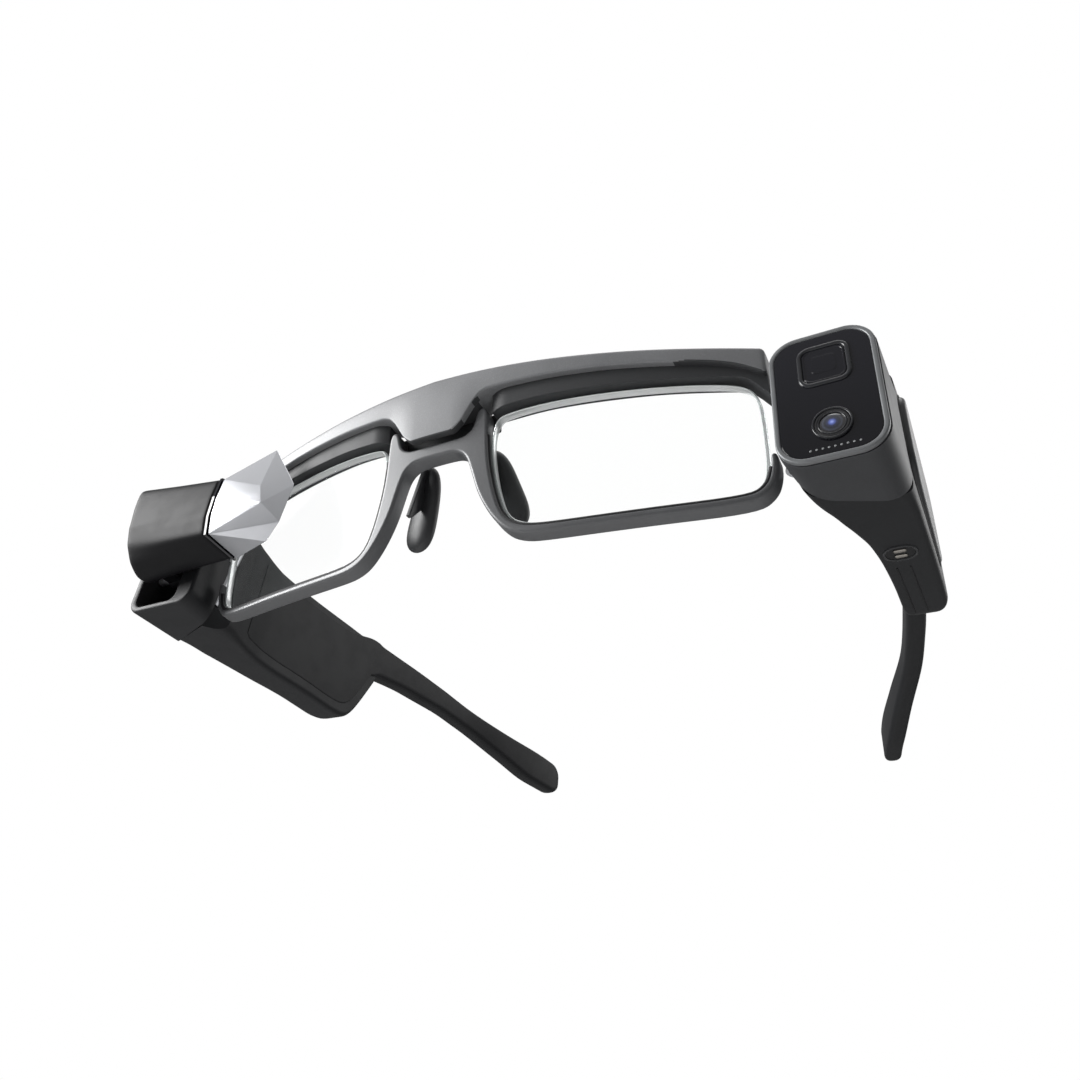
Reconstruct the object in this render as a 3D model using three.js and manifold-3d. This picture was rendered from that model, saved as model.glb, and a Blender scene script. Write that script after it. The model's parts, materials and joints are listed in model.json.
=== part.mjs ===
// Smart glasses with a camera arm, a display arm and a prism display in front of the right lens.
// Millimetres. +X is the wearer's left, +Y runs back along the arms, +Z is up, x = 0 is the middle.
import * as THREE from 'three';
import { ConvexGeometry } from 'three/addons/geometries/ConvexGeometry.js';
import { mergeVertices } from 'three/addons/utils/BufferGeometryUtils.js';
import Module from 'manifold-3d';

const wasm = await Module();
wasm.setup();

// ---------------------------------------------------------------- driving dimensions
const GAP = 0.3;                     // clearance between neighbouring pieces
const WRAP = 0.00256;                // front curves back by WRAP * x^2
const TILT = 0.176;                  // front leans: lower parts sit further back
const RIM_FRONT = -5.0;              // front of the rims at x = 0, z = TILT_Z
const TILT_Z = 10;
const RIM_DEPTH = 3.4;
const BROW_DEPTH = 5.2;
const LENS_SETBACK = 1.1;            // lens front behind the rim front
const LENS_THICK = 1.8;
const MODULE_FRONT = 3.0;            // camera face
const MODULE = { xIn: 62.9, xOut: 80.5, zTop: 14.5, zBottom: -13.1, corner: 5.0 };
const SEAM = { x: 64.5, y: 11.4, slope: 0.38 };      // line where the front meets an arm, seen from above
const HINGE = { x: 65.5, y: 11.7, cant: 12, radius: 1.5, half: 7.5 };
const ARM_END = { left: 64, right: 71 };
const TIP_END = 163.5;
const PAD_TOP = [6.9, 5.2, 9.8];      // nose pad, upper and lower ends
const PAD_FOOT = [11.7, 11.2, -6.4];
const TILT_AXIS = { y: 6.4, z: -2.0 };

// ---------------------------------------------------------------- looks
const paint = (color, roughness, metalness) =>
  new THREE.MeshStandardMaterial({ color, roughness, metalness });
const LOOK = {
  brow: paint(0x7d8083, 0.45, 0.1),
  rim: paint(0x55585b, 0.45, 0.1),
  arm: paint(0x303235, 0.5, 0.05),
  dark: paint(0x1c1d20, 0.55, 0),
  gloss: paint(0x0b0c0e, 0.08, 0),
  bezel: paint(0x8c8f93, 0.35, 0.6),
  clear: paint(0xdfe8e6, 0.05, 0),
  crystal: paint(0xe3e4e8, 0.1, 0.2),
  rubber: paint(0x2a2b2d, 0.8, 0),
  steel: paint(0xb5b7ba, 0.3, 1),
  gold: paint(0xd0aa55, 0.3, 1),
  board: paint(0x1f5a3a, 0.6, 0),
  cell: paint(0x9ea1a5, 0.5, 0.3),
};

// ---------------------------------------------------------------- helpers
const root = new THREE.Group();

function solid(geometry) {
  const bare = geometry.index ? geometry.toNonIndexed() : geometry.clone();
  for (const name of Object.keys(bare.attributes)) if (name !== 'position') bare.deleteAttribute(name);
  const merged = mergeVertices(bare, 1e-4);
  return new wasm.Manifold(new wasm.Mesh({
    numProp: 3,
    vertProperties: new Float32Array(merged.attributes.position.array),
    triVerts: new Uint32Array(merged.index.array),
  }));
}

function geometryOf(manifold) {
  const mesh = manifold.getMesh();
  const geometry = new THREE.BufferGeometry();
  geometry.setAttribute('position', new THREE.BufferAttribute(new Float32Array(mesh.vertProperties), 3));
  geometry.setIndex(new THREE.BufferAttribute(new Uint32Array(mesh.triVerts), 1));
  geometry.computeVertexNormals();
  return geometry;
}

function add(name, look, shape) {
  const geometry = shape.isBufferGeometry ? shape : geometryOf(shape);
  const mesh = new THREE.Mesh(geometry, LOOK[look]);
  mesh.name = name;
  root.add(mesh);
  return mesh;
}

// A closed outline, given as [u, v] pairs, made into a prism along X, Y or Z from a to b.
function prismAlong(axis, outline, a, b) {
  const shape = outline.isShape ? outline : new THREE.Shape(outline.map(([u, v]) => new THREE.Vector2(u, v)));
  const geometry = new THREE.ExtrudeGeometry(shape, { depth: b - a, bevelEnabled: false, curveSegments: 5 });
  geometry.translate(0, 0, axis === 'y' ? -b : a);
  const swap = {
    z: new THREE.Matrix4(),
    x: new THREE.Matrix4().makeBasis(
      new THREE.Vector3(0, 1, 0), new THREE.Vector3(0, 0, 1), new THREE.Vector3(1, 0, 0)),
    y: new THREE.Matrix4().makeBasis(
      new THREE.Vector3(1, 0, 0), new THREE.Vector3(0, 0, 1), new THREE.Vector3(0, -1, 0)),
  }[axis];
  geometry.applyMatrix4(swap);
  return solid(geometry);
}

// A rounded rectangle as an outline of [u, v] pairs.
function roundRect(u0, u1, v0, v1, r, steps = 4) {
  const points = [];
  const corners = [[u1 - r, v1 - r, 0], [u0 + r, v1 - r, 90], [u0 + r, v0 + r, 180], [u1 - r, v0 + r, 270]];
  for (const [cu, cv, start] of corners) {
    for (let i = 0; i <= steps; i++) {
      const a = THREE.MathUtils.degToRad(start + (90 * i) / steps);
      points.push([cu + r * Math.cos(a), cv + r * Math.sin(a)]);
    }
  }
  return points;
}

// A block between two corners.
function block(x0, x1, y0, y1, z0, z1) {
  const geometry = new THREE.BoxGeometry(x1 - x0, y1 - y0, z1 - z0);
  geometry.translate((x0 + x1) / 2, (y0 + y1) / 2, (z0 + z1) / 2);
  return solid(geometry);
}

// A plain cylinder along +Z, moved to a place and turned to an axis.
function rod(radius, length, centre, axis = [0, 0, 1], sides = 20) {
  const geometry = new THREE.CylinderGeometry(radius, radius, length, sides);
  const turn = new THREE.Quaternion().setFromUnitVectors(
    new THREE.Vector3(0, 1, 0), new THREE.Vector3(...axis).normalize());
  geometry.applyQuaternion(turn);
  geometry.translate(...centre);
  return solid(geometry);
}

// A flat ring along Y, from y0 to y1.
function ringY(x, z, rIn, rOut, y0, y1, sides = 28) {
  const outer = rod(rOut, y1 - y0, [x, (y0 + y1) / 2, z], [0, 1, 0], sides);
  return rIn > 0 ? outer.subtract(rod(rIn, y1 - y0 + 2, [x, (y0 + y1) / 2, z], [0, 1, 0], sides)) : outer;
}

const mirrorX = (outline) => outline.map(([x, y]) => [-x, y]).reverse();
const frontY = (x, z) => RIM_FRONT + WRAP * x * x - TILT * (z - TILT_Z);

// A sheet of the given outline (x, z) that follows the wrap and lean of the front,
// from `near` to `far` millimetres behind the rim front.
function wrapped(outline, near, far, holes = []) {
  const shape = new THREE.Shape(outline.map(([x, z]) => new THREE.Vector2(x, z)));
  const flat = new THREE.ExtrudeGeometry(shape, { depth: 1, bevelEnabled: false });
  let body = solid(flat);
  for (const hole of holes) {
    const cut = new THREE.ExtrudeGeometry(
      new THREE.Shape(hole.map(([x, z]) => new THREE.Vector2(x, z))), { depth: 3, bevelEnabled: false });
    cut.translate(0, 0, -1);
    body = body.subtract(solid(cut));
  }
  return body.warp((v) => {
    const [x, z, t] = v;
    v[0] = x;
    v[1] = frontY(x, z) + far + (near - far) * t;
    v[2] = z;
  });
}

// ---------------------------------------------------------------- outlines of the front
// Height of the top of the brow, and of the step below its bright upper band.
const browTop = [[0, 20], [10, 19.6], [21, 18.9], [31.5, 18.0], [42, 17.0], [51.5, 16.0], [62.4, 14.9]];
const browLow = [[12.5, 10.9], [24, 11.6], [40, 11.3], [52, 10.6], [58, 10.0], [62.4, 6.0]];
const bothSides = (line) => [...line.map(([x, z]) => [-x, z]).reverse(), ...line.filter(([x]) => x > 0)];

const lensLine = [
  [12.6, 9.6], [14.6, 10.6], [24, 11.3], [40, 11.0], [52, 10.3], [58, 9.4], [60.0, 7.4], [60.6, 4.0],
  [60.6, -7.6], [59.6, -10.8], [56.8, -12.7], [40, -13.8], [24, -14.2], [18.2, -13.6], [15.2, -11.4],
  [13.4, -6.6], [12.0, 0], [11.6, 6.0],
];
const rimInner = [
  [11.2, 12.2], [11.3, 6.0], [11.7, 0], [13.1, -6.8], [14.9, -11.7], [18.0, -14.0], [24, -14.6],
  [40, -14.2], [56.9, -13.1], [60.0, -11.0], [61.0, -7.6], [61.0, -5.0],
];
const rimOuter = [
  [62.2, -5.0], [62.2, -8.2], [61.0, -11.8], [57.4, -14.5], [40, -15.6], [24, -16.0],
  [17.2, -15.6], [13.4, -12.6], [9.8, -6.6], [7.6, 0], [5.6, 3.4], [3.0, 4.5],
];

// ---------------------------------------------------------------- front frame
const browOutline = [
  ...bothSides(browTop),
  ...[...browLow].reverse(), [10.4, 13.4], [7.0, 8.4], [5.4, 7.3],
  [-5.4, 7.3], [-7.0, 8.4], [-10.4, 13.4], ...browLow.map(([x, z]) => [-x, z]),
];
const browStep = (s) => [
  [s * 12.6, 11.2], [s * 11.2, 13.6], [s * 13.4, 14.9], [s * 21, 15.1], [s * 31.5, 14.8], [s * 42, 14.0],
  [s * 51.5, 13.0], [s * 57, 11.9], [s * 62.2, 9.6], [s * 62.2, 5.0], [s * 58, 9.2], [s * 40, 10.5],
  [s * 24, 10.8],
];
let brow = wrapped(browOutline, -1.0, BROW_DEPTH);
for (const s of [1, -1]) brow = brow.subtract(wrapped(browStep(s), -3.0, 0.3));
brow = brow.subtract(wrapped([...bothSides([[0, 12.7], [11.7, 12.7]]), [11.7, 0], [-11.7, 0]],
  0.4, BROW_DEPTH - 0.8));
add('brow_bar', 'brow', brow);

const rimOutline = [...rimInner, ...rimOuter, ...mirrorX(rimOuter), ...mirrorX(rimInner),
  [-9.1, 12.2], [-8.3, 8.2],
  [-6.6, 7.0], [-4.8, 6.7], [4.8, 6.7], [6.6, 7.0], [8.3, 8.2], [9.1, 12.2]];
add('rim_and_bridge', 'rim', wrapped(rimOutline, 0.7, RIM_DEPTH + 0.7));

for (const [side, s] of [['left', 1], ['right', -1]]) {
  const outline = lensLine.map(([x, z]) => [s * x, z]);
  add(`lens_${side}`, 'clear', wrapped(outline, 0.7 + LENS_SETBACK, 0.7 + LENS_SETBACK + LENS_THICK));
}

// ---------------------------------------------------------------- nose pads
function capsuleBetween(from, to, scaleX, scaleZ, face) {
  const a = new THREE.Vector3(...from);
  const b = new THREE.Vector3(...to);
  const length = a.distanceTo(b);
  const geometry = new THREE.SphereGeometry(1, 14, 10);
  geometry.scale(scaleX, length / 2, scaleZ);
  const along = b.clone().sub(a).normalize();
  const out = new THREE.Vector3(...face);
  out.sub(along.clone().multiplyScalar(out.dot(along))).normalize();
  const across = new THREE.Vector3().crossVectors(along, out);
  geometry.applyMatrix4(new THREE.Matrix4().makeBasis(across, along, out));
  geometry.translate((a.x + b.x) / 2, (a.y + b.y) / 2, (a.z + b.z) / 2);
  return solid(geometry);
}
for (const [side, s] of [['left', 1], ['right', -1]]) {
  const pad = capsuleBetween(
    [s * PAD_TOP[0], PAD_TOP[1], PAD_TOP[2]], [s * PAD_FOOT[0], PAD_FOOT[1], PAD_FOOT[2]],
    3.4, 1.9, [-s * 0.25, 1, 0.2]);
  const post = rod(0.9, 6.4, [s * 9.0, 3.9, 2.0], [s * 0.18, 1, 0], 10);
  const clear = rod(1.2, 7.0, [s * 9.0, 3.9, 2.0], [s * 0.18, 1, 0], 10);
  add(`nose_pad_${side}`, 'rubber', pad.subtract(clear));
  add(`nose_pad_post_${side}`, 'steel', post.subtract(
    wrapped(rimOutline, -2, RIM_DEPTH + 1.0)));
}

// ---------------------------------------------------------------- where the front meets an arm
// The hinge axis leans the same way on both sides, so that one arm folds over the other.
const CANT = THREE.MathUtils.degToRad(HINGE.cant);
const hingeAxis = new THREE.Vector3(Math.sin(CANT), 0, Math.cos(CANT));
function seamFrame(s, turn = 0) {
  const out = new THREE.Vector3(s, SEAM.slope, 0);
  out.sub(hingeAxis.clone().multiplyScalar(out.dot(hingeAxis))).normalize();
  const back = new THREE.Vector3().crossVectors(hingeAxis, out).multiplyScalar(s);
  const spin = new THREE.Quaternion().setFromAxisAngle(hingeAxis, -s * THREE.MathUtils.degToRad(turn));
  out.applyQuaternion(spin);
  back.applyQuaternion(spin);
  return new THREE.Matrix4().makeBasis(out.multiplyScalar(s), back, hingeAxis)
    .setPosition(s * HINGE.x, HINGE.y, 0);
}
// A block measured from the hinge axis: outward, backward and along the axis.
function hingeBlock(s, u, v, w, turn = 0) {
  const [u0, u1] = s > 0 ? u : [-u[1], -u[0]];
  const geometry = new THREE.BoxGeometry(u1 - u0, v[1] - v[0], w[1] - w[0]);
  geometry.translate((u0 + u1) / 2, (v[0] + v[1]) / 2, (w[0] + w[1]) / 2);
  geometry.applyMatrix4(seamFrame(s, turn));
  return solid(geometry);
}
function hingeRod(s, radius, w) {
  const geometry = new THREE.CylinderGeometry(radius, radius, w[1] - w[0], 16);
  geometry.rotateX(Math.PI / 2);
  geometry.translate(0, 0, (w[0] + w[1]) / 2);
  geometry.applyMatrix4(seamFrame(s));
  return solid(geometry);
}
const FAR = [-90, 90];
const frontOfSeam = (s, part) => part.subtract(hingeBlock(s, FAR, [-0.15, 120], FAR));
const behindSeam = (s, part) => part
  .subtract(hingeBlock(s, FAR, [-120, 0.25], FAR))
  .subtract(hingeBlock(s, FAR, [-120, 0.25], FAR, 88));
const hingePocket = (s) => hingeRod(s, HINGE.radius + 0.4, [-HINGE.half - 0.4, HINGE.half + 0.4]);

function hinge(side, s) {
  const h = HINGE.half;
  const hole = hingeRod(s, 0.9, [-h - 1, h + 1]);
  const ends = [[-h, -3], [3, h]];
  let front = hingeBlock(s, [-1.3, 1.3], [-4.8, -2.4], [-h, h]);
  for (const span of ends) {
    front = front.add(hingeRod(s, HINGE.radius, span)).add(hingeBlock(s, [-1.3, 1.3], [-3, 0], span));
  }
  add(`hinge_front_leaf_${side}`, 'steel', front.subtract(hole));
  const arm = hingeRod(s, HINGE.radius, [-2.7, 2.7]).add(hingeBlock(s, [-0.3, 7.5], [0.3, 1.5], [-2.7, 2.7]))
    .add(hingeBlock(s, [2.4, 7.5], [0.3, 4.5], [-2.7, 2.7]));
  add(`hinge_arm_leaf_${side}`, 'steel', arm.subtract(hole));
  add(`hinge_pin_${side}`, 'steel', hingeRod(s, 0.6, [-h, h]));
}
const leafPocketFront = (s) => hingeBlock(s, [-1.6, 1.6], [-5.1, 1], [-HINGE.half - 0.3, HINGE.half + 0.3]);
const leafPocketArm = (s) => hingeBlock(s, [-0.6, 7.9], [-1, 1.9], [-3, 3])
  .add(hingeBlock(s, [2.1, 7.9], [-1, 4.9], [-3, 3]));

// ---------------------------------------------------------------- camera module, on the left end
const { xIn, xOut, zTop, zBottom, corner } = MODULE;
const modulePlan = [[xIn, 0], [xIn, 4], [63.4, 8], [64.4, 13], [65.6, 18], [xOut + 0.9, 18], [xOut, 0]];
const moduleFace = (inset) => roundRect(xIn + inset, xOut + 0.9 - inset, zBottom + inset, zTop - inset,
  corner - inset);
let camera = prismAlong('y', moduleFace(0), MODULE_FRONT + 1.3, 19)
  .intersect(prismAlong('z', modulePlan, -30, 30));
camera = frontOfSeam(1, camera)
  .subtract(prismAlong('y', roundRect(67.6, 78.8, -11.2, 11.4, 2), 0, 12.4))
  .subtract(hingePocket(1)).subtract(leafPocketFront(1))
  .subtract(block(68.3, 75.7, 6.2, 9.8, 12.3, 20));
add('camera_housing', 'arm', camera);
const bezelOuter = prismAlong('y', moduleFace(0), MODULE_FRONT, MODULE_FRONT + 1.0)
  .intersect(prismAlong('z', modulePlan, -30, 30));
add('camera_bezel', 'bezel', bezelOuter.subtract(prismAlong('y', roundRect(xIn + 0.9, xOut - 0.9,
  zBottom + 0.9, zTop - 0.9, corner - 0.9), 0, 9)));
const LENS_AT = { x: 72.1, z: -6.4 };
const WINDOW = { x0: 67.6, x1: 76.3, z0: 2.3, z1: 11.4 };
add('camera_cover_glass', 'gloss', prismAlong('y', roundRect(xIn + 1.2, xOut - 1.2, zBottom + 1.2, zTop - 1.2,
  corner - 1.2), MODULE_FRONT + 0.15, MODULE_FRONT + 1.0)
  .subtract(ringY(LENS_AT.x, LENS_AT.z, 0, 3.5, 0, 9))
  .subtract(prismAlong('y', roundRect(WINDOW.x0 - 0.3, WINDOW.x1 + 0.3, WINDOW.z0 - 0.3, WINDOW.z1 + 0.3, 1.9),
    0, 9)));
add('camera_lens_ring', 'bezel',
  ringY(LENS_AT.x, LENS_AT.z, 2.2, 3.2, MODULE_FRONT - 0.35, MODULE_FRONT + 1.0));
add('camera_lens_glass', 'gloss',
  ringY(LENS_AT.x, LENS_AT.z, 0, 1.9, MODULE_FRONT + 0.5, MODULE_FRONT + 1.1, 20));
add('camera_lens_barrel', 'dark',
  ringY(LENS_AT.x, LENS_AT.z, 1.6, 3.6, MODULE_FRONT + 1.4, MODULE_FRONT + 5.6));
add('camera_sensor_board', 'board', block(68.0, 76.4, 8.7, 9.5, -10.4, -2.2));
add('zoom_window_ring', 'bezel', prismAlong('y', roundRect(WINDOW.x0, WINDOW.x1, WINDOW.z0, WINDOW.z1, 1.6),
  MODULE_FRONT - 0.25, MODULE_FRONT + 1.0)
  .subtract(prismAlong('y', roundRect(WINDOW.x0 + 1, WINDOW.x1 - 1, WINDOW.z0 + 1, WINDOW.z1 - 1, 1), 0, 9)));
add('zoom_window_glass', 'gloss', prismAlong('y', roundRect(WINDOW.x0 + 1.3, WINDOW.x1 - 1.3, WINDOW.z0 + 1.3,
  WINDOW.z1 - 1.3, 0.8), MODULE_FRONT + 0.3, MODULE_FRONT + 1.1));
add('zoom_prism', 'clear', prismAlong('x', [[4.7, 3.2], [9.6, 8.1], [4.7, 8.1]], 70.2, 74.8));
add('zoom_lens_barrel', 'dark', rod(2.3, 3.6, [72, 7.1, 0.6], [0, 0, 1], 18));
add('capture_button', 'bezel', block(68.6, 75.4, 6.5, 9.5, 13.3, 15.2));

// ---------------------------------------------------------------- right end: open cup for the display arm
const cupPlan = [[62.9, 2.6], [64.6, 2.0], [80.4, 2.0], [81.4, 18], [65.6, 18], [64.4, 13], [63.4, 8]];
const CUP_FRONT = 2.0;
let cup = prismAlong('y', roundRect(-81.4, -62.9, zBottom + 0.4, zTop, 3.4), CUP_FRONT, 19)
  .intersect(prismAlong('z', mirrorX(cupPlan), -30, 30));
cup = frontOfSeam(-1, cup)
  .subtract(prismAlong('y', roundRect(-79.6, -67.6, zBottom + 1.8, zTop - 1.4, 2), 0, 11.2))
  .subtract(hingePocket(-1)).subtract(leafPocketFront(-1));
add('display_cup', 'arm', cup);

// ---------------------------------------------------------------- arms
const topLine = [[0, 14.4], [20, 15.0], [45, 16.7], [60, 17.4], [78, 18.0]];
const bottomLine = [[0, -13.4], [14, -12.2], [21.6, -11.1], [40, -9.8], [56, -8.9]];
const innerLine = [[8, 63.4], [13.4, 64.5], [18.1, 65.7], [23.1, 67.8], [28.9, 69.9], [34.6, 71.5],
  [44, 72.6],
  [54.4, 73.1], [66, 73.2], [78, 72.8]];
const outerLine = [[8, 80.8], [20, 81.4], [60, 82.0], [78, 82.0]];
const lineAt = (line, y) => {
  const i = Math.max(1, line.findIndex(([u]) => u >= y));
  const [[u0, v0], [u1, v1]] = [line[i - 1], line[i]];
  return v0 + ((v1 - v0) * (y - u0)) / (u1 - u0);
};
const shifted = (line, dy) => line.map(([y, v]) => [y, v + dy]);
const placed = (s, plan) => (s > 0 ? plan.map(([y, x]) => [x, y]).reverse() : plan.map(([y, x]) => [-x, y]));
const planPrism = (s, inner, outer) => {
  const outline = placed(s, [...inner, ...[...outer].reverse()]);
  return prismAlong('z', outline, -40, 40);
};
const sidePrism = (outline) => prismAlong('x', outline, -100, 100);
function clipped(line, y0, y1) {
  return [[y0, lineAt(line, y0)], ...line.filter(([y]) => y > y0 && y < y1), [y1, lineAt(line, y1)]];
}
function armSide(end, start, inset, lift = inset) {
  const notch = end + 9 - inset;
  return [
    ...shifted(clipped(bottomLine, start, end - 8), lift),
    [end - 3 - inset, -8.6 + lift], [end - inset, -7.6 + lift], [notch - 0.6, 5.6 + inset],
    [notch, 7.0 + inset],
    ...[...shifted(clipped(topLine, start, notch), -inset)].reverse(),
  ];
}
const tipTop = [[66, 17.6], [78, 18.0], [95, 17.8], [108, 17.2], [120, 15.8], [137, 13.0], [152, 11.5],
  [158.6, 10.6], [162.2, 8.6]];
const tipBottom = [[66, 6.6], [78, 8.2], [95, 10.0], [108, 10.2], [120, 9.0], [137, 4.4], [150, 1.2],
  [156, 0.6], [161, 2.2]];
const tipInner = [[66, 73.2], [78, 72.8], [95, 71.0], [104, 69.7], [120, 66.5], [137, 60.5], [153, 55.4],
  [162, 53.4], [TIP_END + 1, 53.0]];
const TIP_THICK = 4.8;

function buildArm(side, s) {
  const end = ARM_END[side];
  const notch = end + 9;
  const whole = sidePrism(armSide(end, 8, 0)).intersect(planPrism(s, innerLine, outerLine));
  const bay = sidePrism(armSide(end, 25, 1.6, 2.6))
    .intersect(planPrism(s, shifted(innerLine, -3), shifted(outerLine, -1.6)));
  const acrossArm = (a, b) => [Math.min(s * a, s * b), Math.max(s * a, s * b)];
  const tenon = block(...acrossArm(75.2, 77.2), notch - 7, notch + 1, 9.5, 15.5);
  const mortise = block(...acrossArm(74.9, 77.5), notch - 7.4, notch + 1, 9.2, 15.8);
  let shell = behindSeam(s, whole).subtract(bay).subtract(hingePocket(s)).subtract(leafPocketArm(s))
    .subtract(mortise);
  if (side === 'left') {
    shell = shell.subtract(prismAlong('x', roundRect(18.7, 53.3, -6.3, 13.3, 5.3), 81.0, 90))
      .subtract(rod(2.7, 4, [76.3, 35.5, -11.1]));
  }
  add(`arm_shell_${side}`, 'arm', shell);
  const cover = sidePrism(armSide(end, 25.4, 2.0, 3.0))
    .intersect(planPrism(s, innerLine, shifted(innerLine, 1.3)));
  add(`arm_cover_${side}`, 'arm', cover);
  const tip = sidePrism([...clipped(tipBottom, notch + GAP, 161),
    [TIP_END - 0.6, 4], [TIP_END, 6], ...[...clipped(tipTop, notch + GAP, 162.2)].reverse()])
    .intersect(planPrism(s, tipInner, shifted(tipInner, TIP_THICK)));
  add(`arm_tip_${side}`, 'dark', tip.add(tenon));

  const [x0, x1] = acrossArm(75.2, 79.9);
  add(`battery_${side}`, 'cell', block(x0, x1, 44, end - 5, -5.0, 8.4));
  add(`speaker_${side}`, 'dark', block(x0, x1, 44, 58, 9.2, 14.0));
  add(`main_board_${side}`, 'board', block(...acrossArm(78.6, 79.6), 26.2, 42.8, -6.6, 12.2));
  hinge(side, s);
}
buildArm('left', 1);
buildArm('right', -1);
add('touch_plate', 'rim', prismAlong('x', roundRect(19, 53, -6, 13, 5), 81.3, 82.9));
add('contact_seat', 'dark', rod(2.4, 0.5, [76.3, 35.5, -9.7], [0, 0, 1], 20));
add('contact_front', 'gold', rod(0.55, 0.5, [76.3, 34.5, -10.5], [0, 0, 1], 12));
add('contact_back', 'gold', rod(0.55, 0.5, [76.3, 36.5, -10.5], [0, 0, 1], 12));

// ---------------------------------------------------------------- display unit
const hull = (points) => solid(new ConvexGeometry(points.map(([x, y, z]) => new THREE.Vector3(x, y, z))));
const profileIn = [[-8.8, 9.1], [-9.1, 4], [-8.9, -1], [-8.0, -5.1], [1.3, -5.6], [0.2, 6], [-1.6, 10.4],
  [-5.5, 10.4]];
const profileOut = [[-10, 12.2], [-10.0, 7], [-9.4, 1.5], [-8.2, -2.2], [-5.8, -5.6], [-2.9, -7.6],
  [0.6, -7.4],
  [0.4, 6], [-1.6, 12.2]];
const INNER_X = -50.9;
const OUTER_X = -75.5;
const shrink = (profile, d) => {
  const cy = profile.reduce((sum, p) => sum + p[0], 0) / profile.length;
  const cz = profile.reduce((sum, p) => sum + p[1], 0) / profile.length;
  return profile.map(([y, z]) => [y + Math.sign(cy - y) * Math.min(d, Math.abs(cy - y)),
    z + Math.sign(cz - z) * Math.min(d, Math.abs(cz - z))]);
};
const at = (x, profile) => profile.map(([y, z]) => [x, y, z]);
const barrelAt = [-72.7, TILT_AXIS.y, TILT_AXIS.z];
const housing = hull([...at(INNER_X - 0.9, profileIn), ...at(OUTER_X, profileOut)])
  .add(block(-75.0, -70.4, -1.6, TILT_AXIS.y, TILT_AXIS.z - 2.1, TILT_AXIS.z + 2.1))
  .add(rod(2.6, 4.6, barrelAt, [1, 0, 0], 20))
  .subtract(hull([...at(INNER_X + 1, shrink(profileIn, 1.3)), ...at(OUTER_X + 1.6, shrink(profileOut, 1.8))]))
  .subtract(rod(1.3, 12, barrelAt, [1, 0, 0], 20));
add('display_housing', 'gloss', housing);
add('tilt_axle', 'steel', rod(1.0, 10.2, [-74.3, TILT_AXIS.y, TILT_AXIS.z], [1, 0, 0], 16));
add('display_rim', 'gloss', hull([...at(INNER_X - 0.6, profileIn), ...at(INNER_X, profileIn)])
  .subtract(hull([...at(INNER_X - 2, shrink(profileIn, 1.2)), ...at(INNER_X + 1, shrink(profileIn, 1.2))])));
add('display_prism', 'crystal', hull([
  ...at(INNER_X + GAP, shrink(profileIn, 0.25)),
  [-39.5, -8.0, 4.5], [-37.8, -8.0, -0.4], [-40.1, -6.2, 15.8], [-33.2, -5.0, 5.2], [-33.6, -5.6, -4.6],
  [-37.6, -3.8, -7.2], [-44.5, -0.6, -4.6], [-40.5, -2.6, 8.0],
]));
add('micro_display', 'board', block(-72.4, -71.4, -6.0, -2.4, -1.6, 6.0));
add('display_optic', 'clear', rod(2.9, 2.4, [-62, -4.2, 2.4], [1, 0, 0], 20));

// ------------------------------------------------------ origin: centre of the footprint, lowest point
const box = new THREE.Box3().setFromObject(root);
const centre = box.getCenter(new THREE.Vector3());
root.position.set(-centre.x, -centre.y, -box.min.z);

export default root;
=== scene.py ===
"""Smart glasses: a camera module on the left end, a tilting prism display on the right, two folding arms."""

import json
import math

import bmesh
import bpy
from bpy.props import FloatProperty, FloatVectorProperty, IntProperty, PointerProperty
from mathutils import Matrix, Quaternion, Vector


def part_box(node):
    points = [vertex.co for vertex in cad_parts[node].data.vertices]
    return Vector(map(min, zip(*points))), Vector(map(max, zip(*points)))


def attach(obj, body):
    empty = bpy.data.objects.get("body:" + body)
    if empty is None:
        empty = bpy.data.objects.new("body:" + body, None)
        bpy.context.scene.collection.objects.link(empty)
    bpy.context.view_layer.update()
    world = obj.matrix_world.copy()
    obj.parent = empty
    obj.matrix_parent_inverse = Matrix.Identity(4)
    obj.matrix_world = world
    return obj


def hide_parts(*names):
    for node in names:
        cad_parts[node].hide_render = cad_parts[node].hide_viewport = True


bl_info = {
    "name": "Smart Glasses",
    "version": (1, 0, 0),
    "blender": (4, 5, 0),
    "location": "View3D > Sidebar > Smart Glasses",
    "description": "Builds the visible pieces of a pair of smart glasses on their packed frame",
    "category": "Add Mesh",
}

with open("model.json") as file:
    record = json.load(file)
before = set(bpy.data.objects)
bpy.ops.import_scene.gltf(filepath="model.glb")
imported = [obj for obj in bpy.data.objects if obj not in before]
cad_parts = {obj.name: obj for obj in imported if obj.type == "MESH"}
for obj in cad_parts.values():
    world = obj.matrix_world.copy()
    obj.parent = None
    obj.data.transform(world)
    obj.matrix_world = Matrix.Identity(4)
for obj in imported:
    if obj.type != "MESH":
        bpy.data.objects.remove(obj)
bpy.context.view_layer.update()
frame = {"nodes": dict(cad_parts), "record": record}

# ---------------------------------------------------------------- sizes, in millimetres of the design
MM = 0.001
RING_FRONT = 2.65                     # front of the camera lens ring
LENS_AT = (72.1, -6.4)                # centre of the camera lens (x, z)
LEAN, LEAN_Z, RIM_FRONT = 0.176, 10.0, -5.0
HINGE_X, HINGE_Y, HINGE_CANT, SEAM_SLOPE = 65.5, 11.7, 12.0, 0.38
MODULE = {"x_in": 62.9, "x_out": 80.5, "low": -13.1, "high": 14.5, "front": 3.0}
PIVOT = (6.4, -2.0)                   # tilt axis of the display (y, z)
POD_END = {"left": 64.0, "right": 71.0}
NOTCH = 9.0                           # from a pod's rear end to where its lower edge has turned up
BLADE_START, TIP_END, TIP_THICK = 25.6, 163.5, 4.8
BROW_HALF = 62.35                     # half the width of the brow bar
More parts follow.
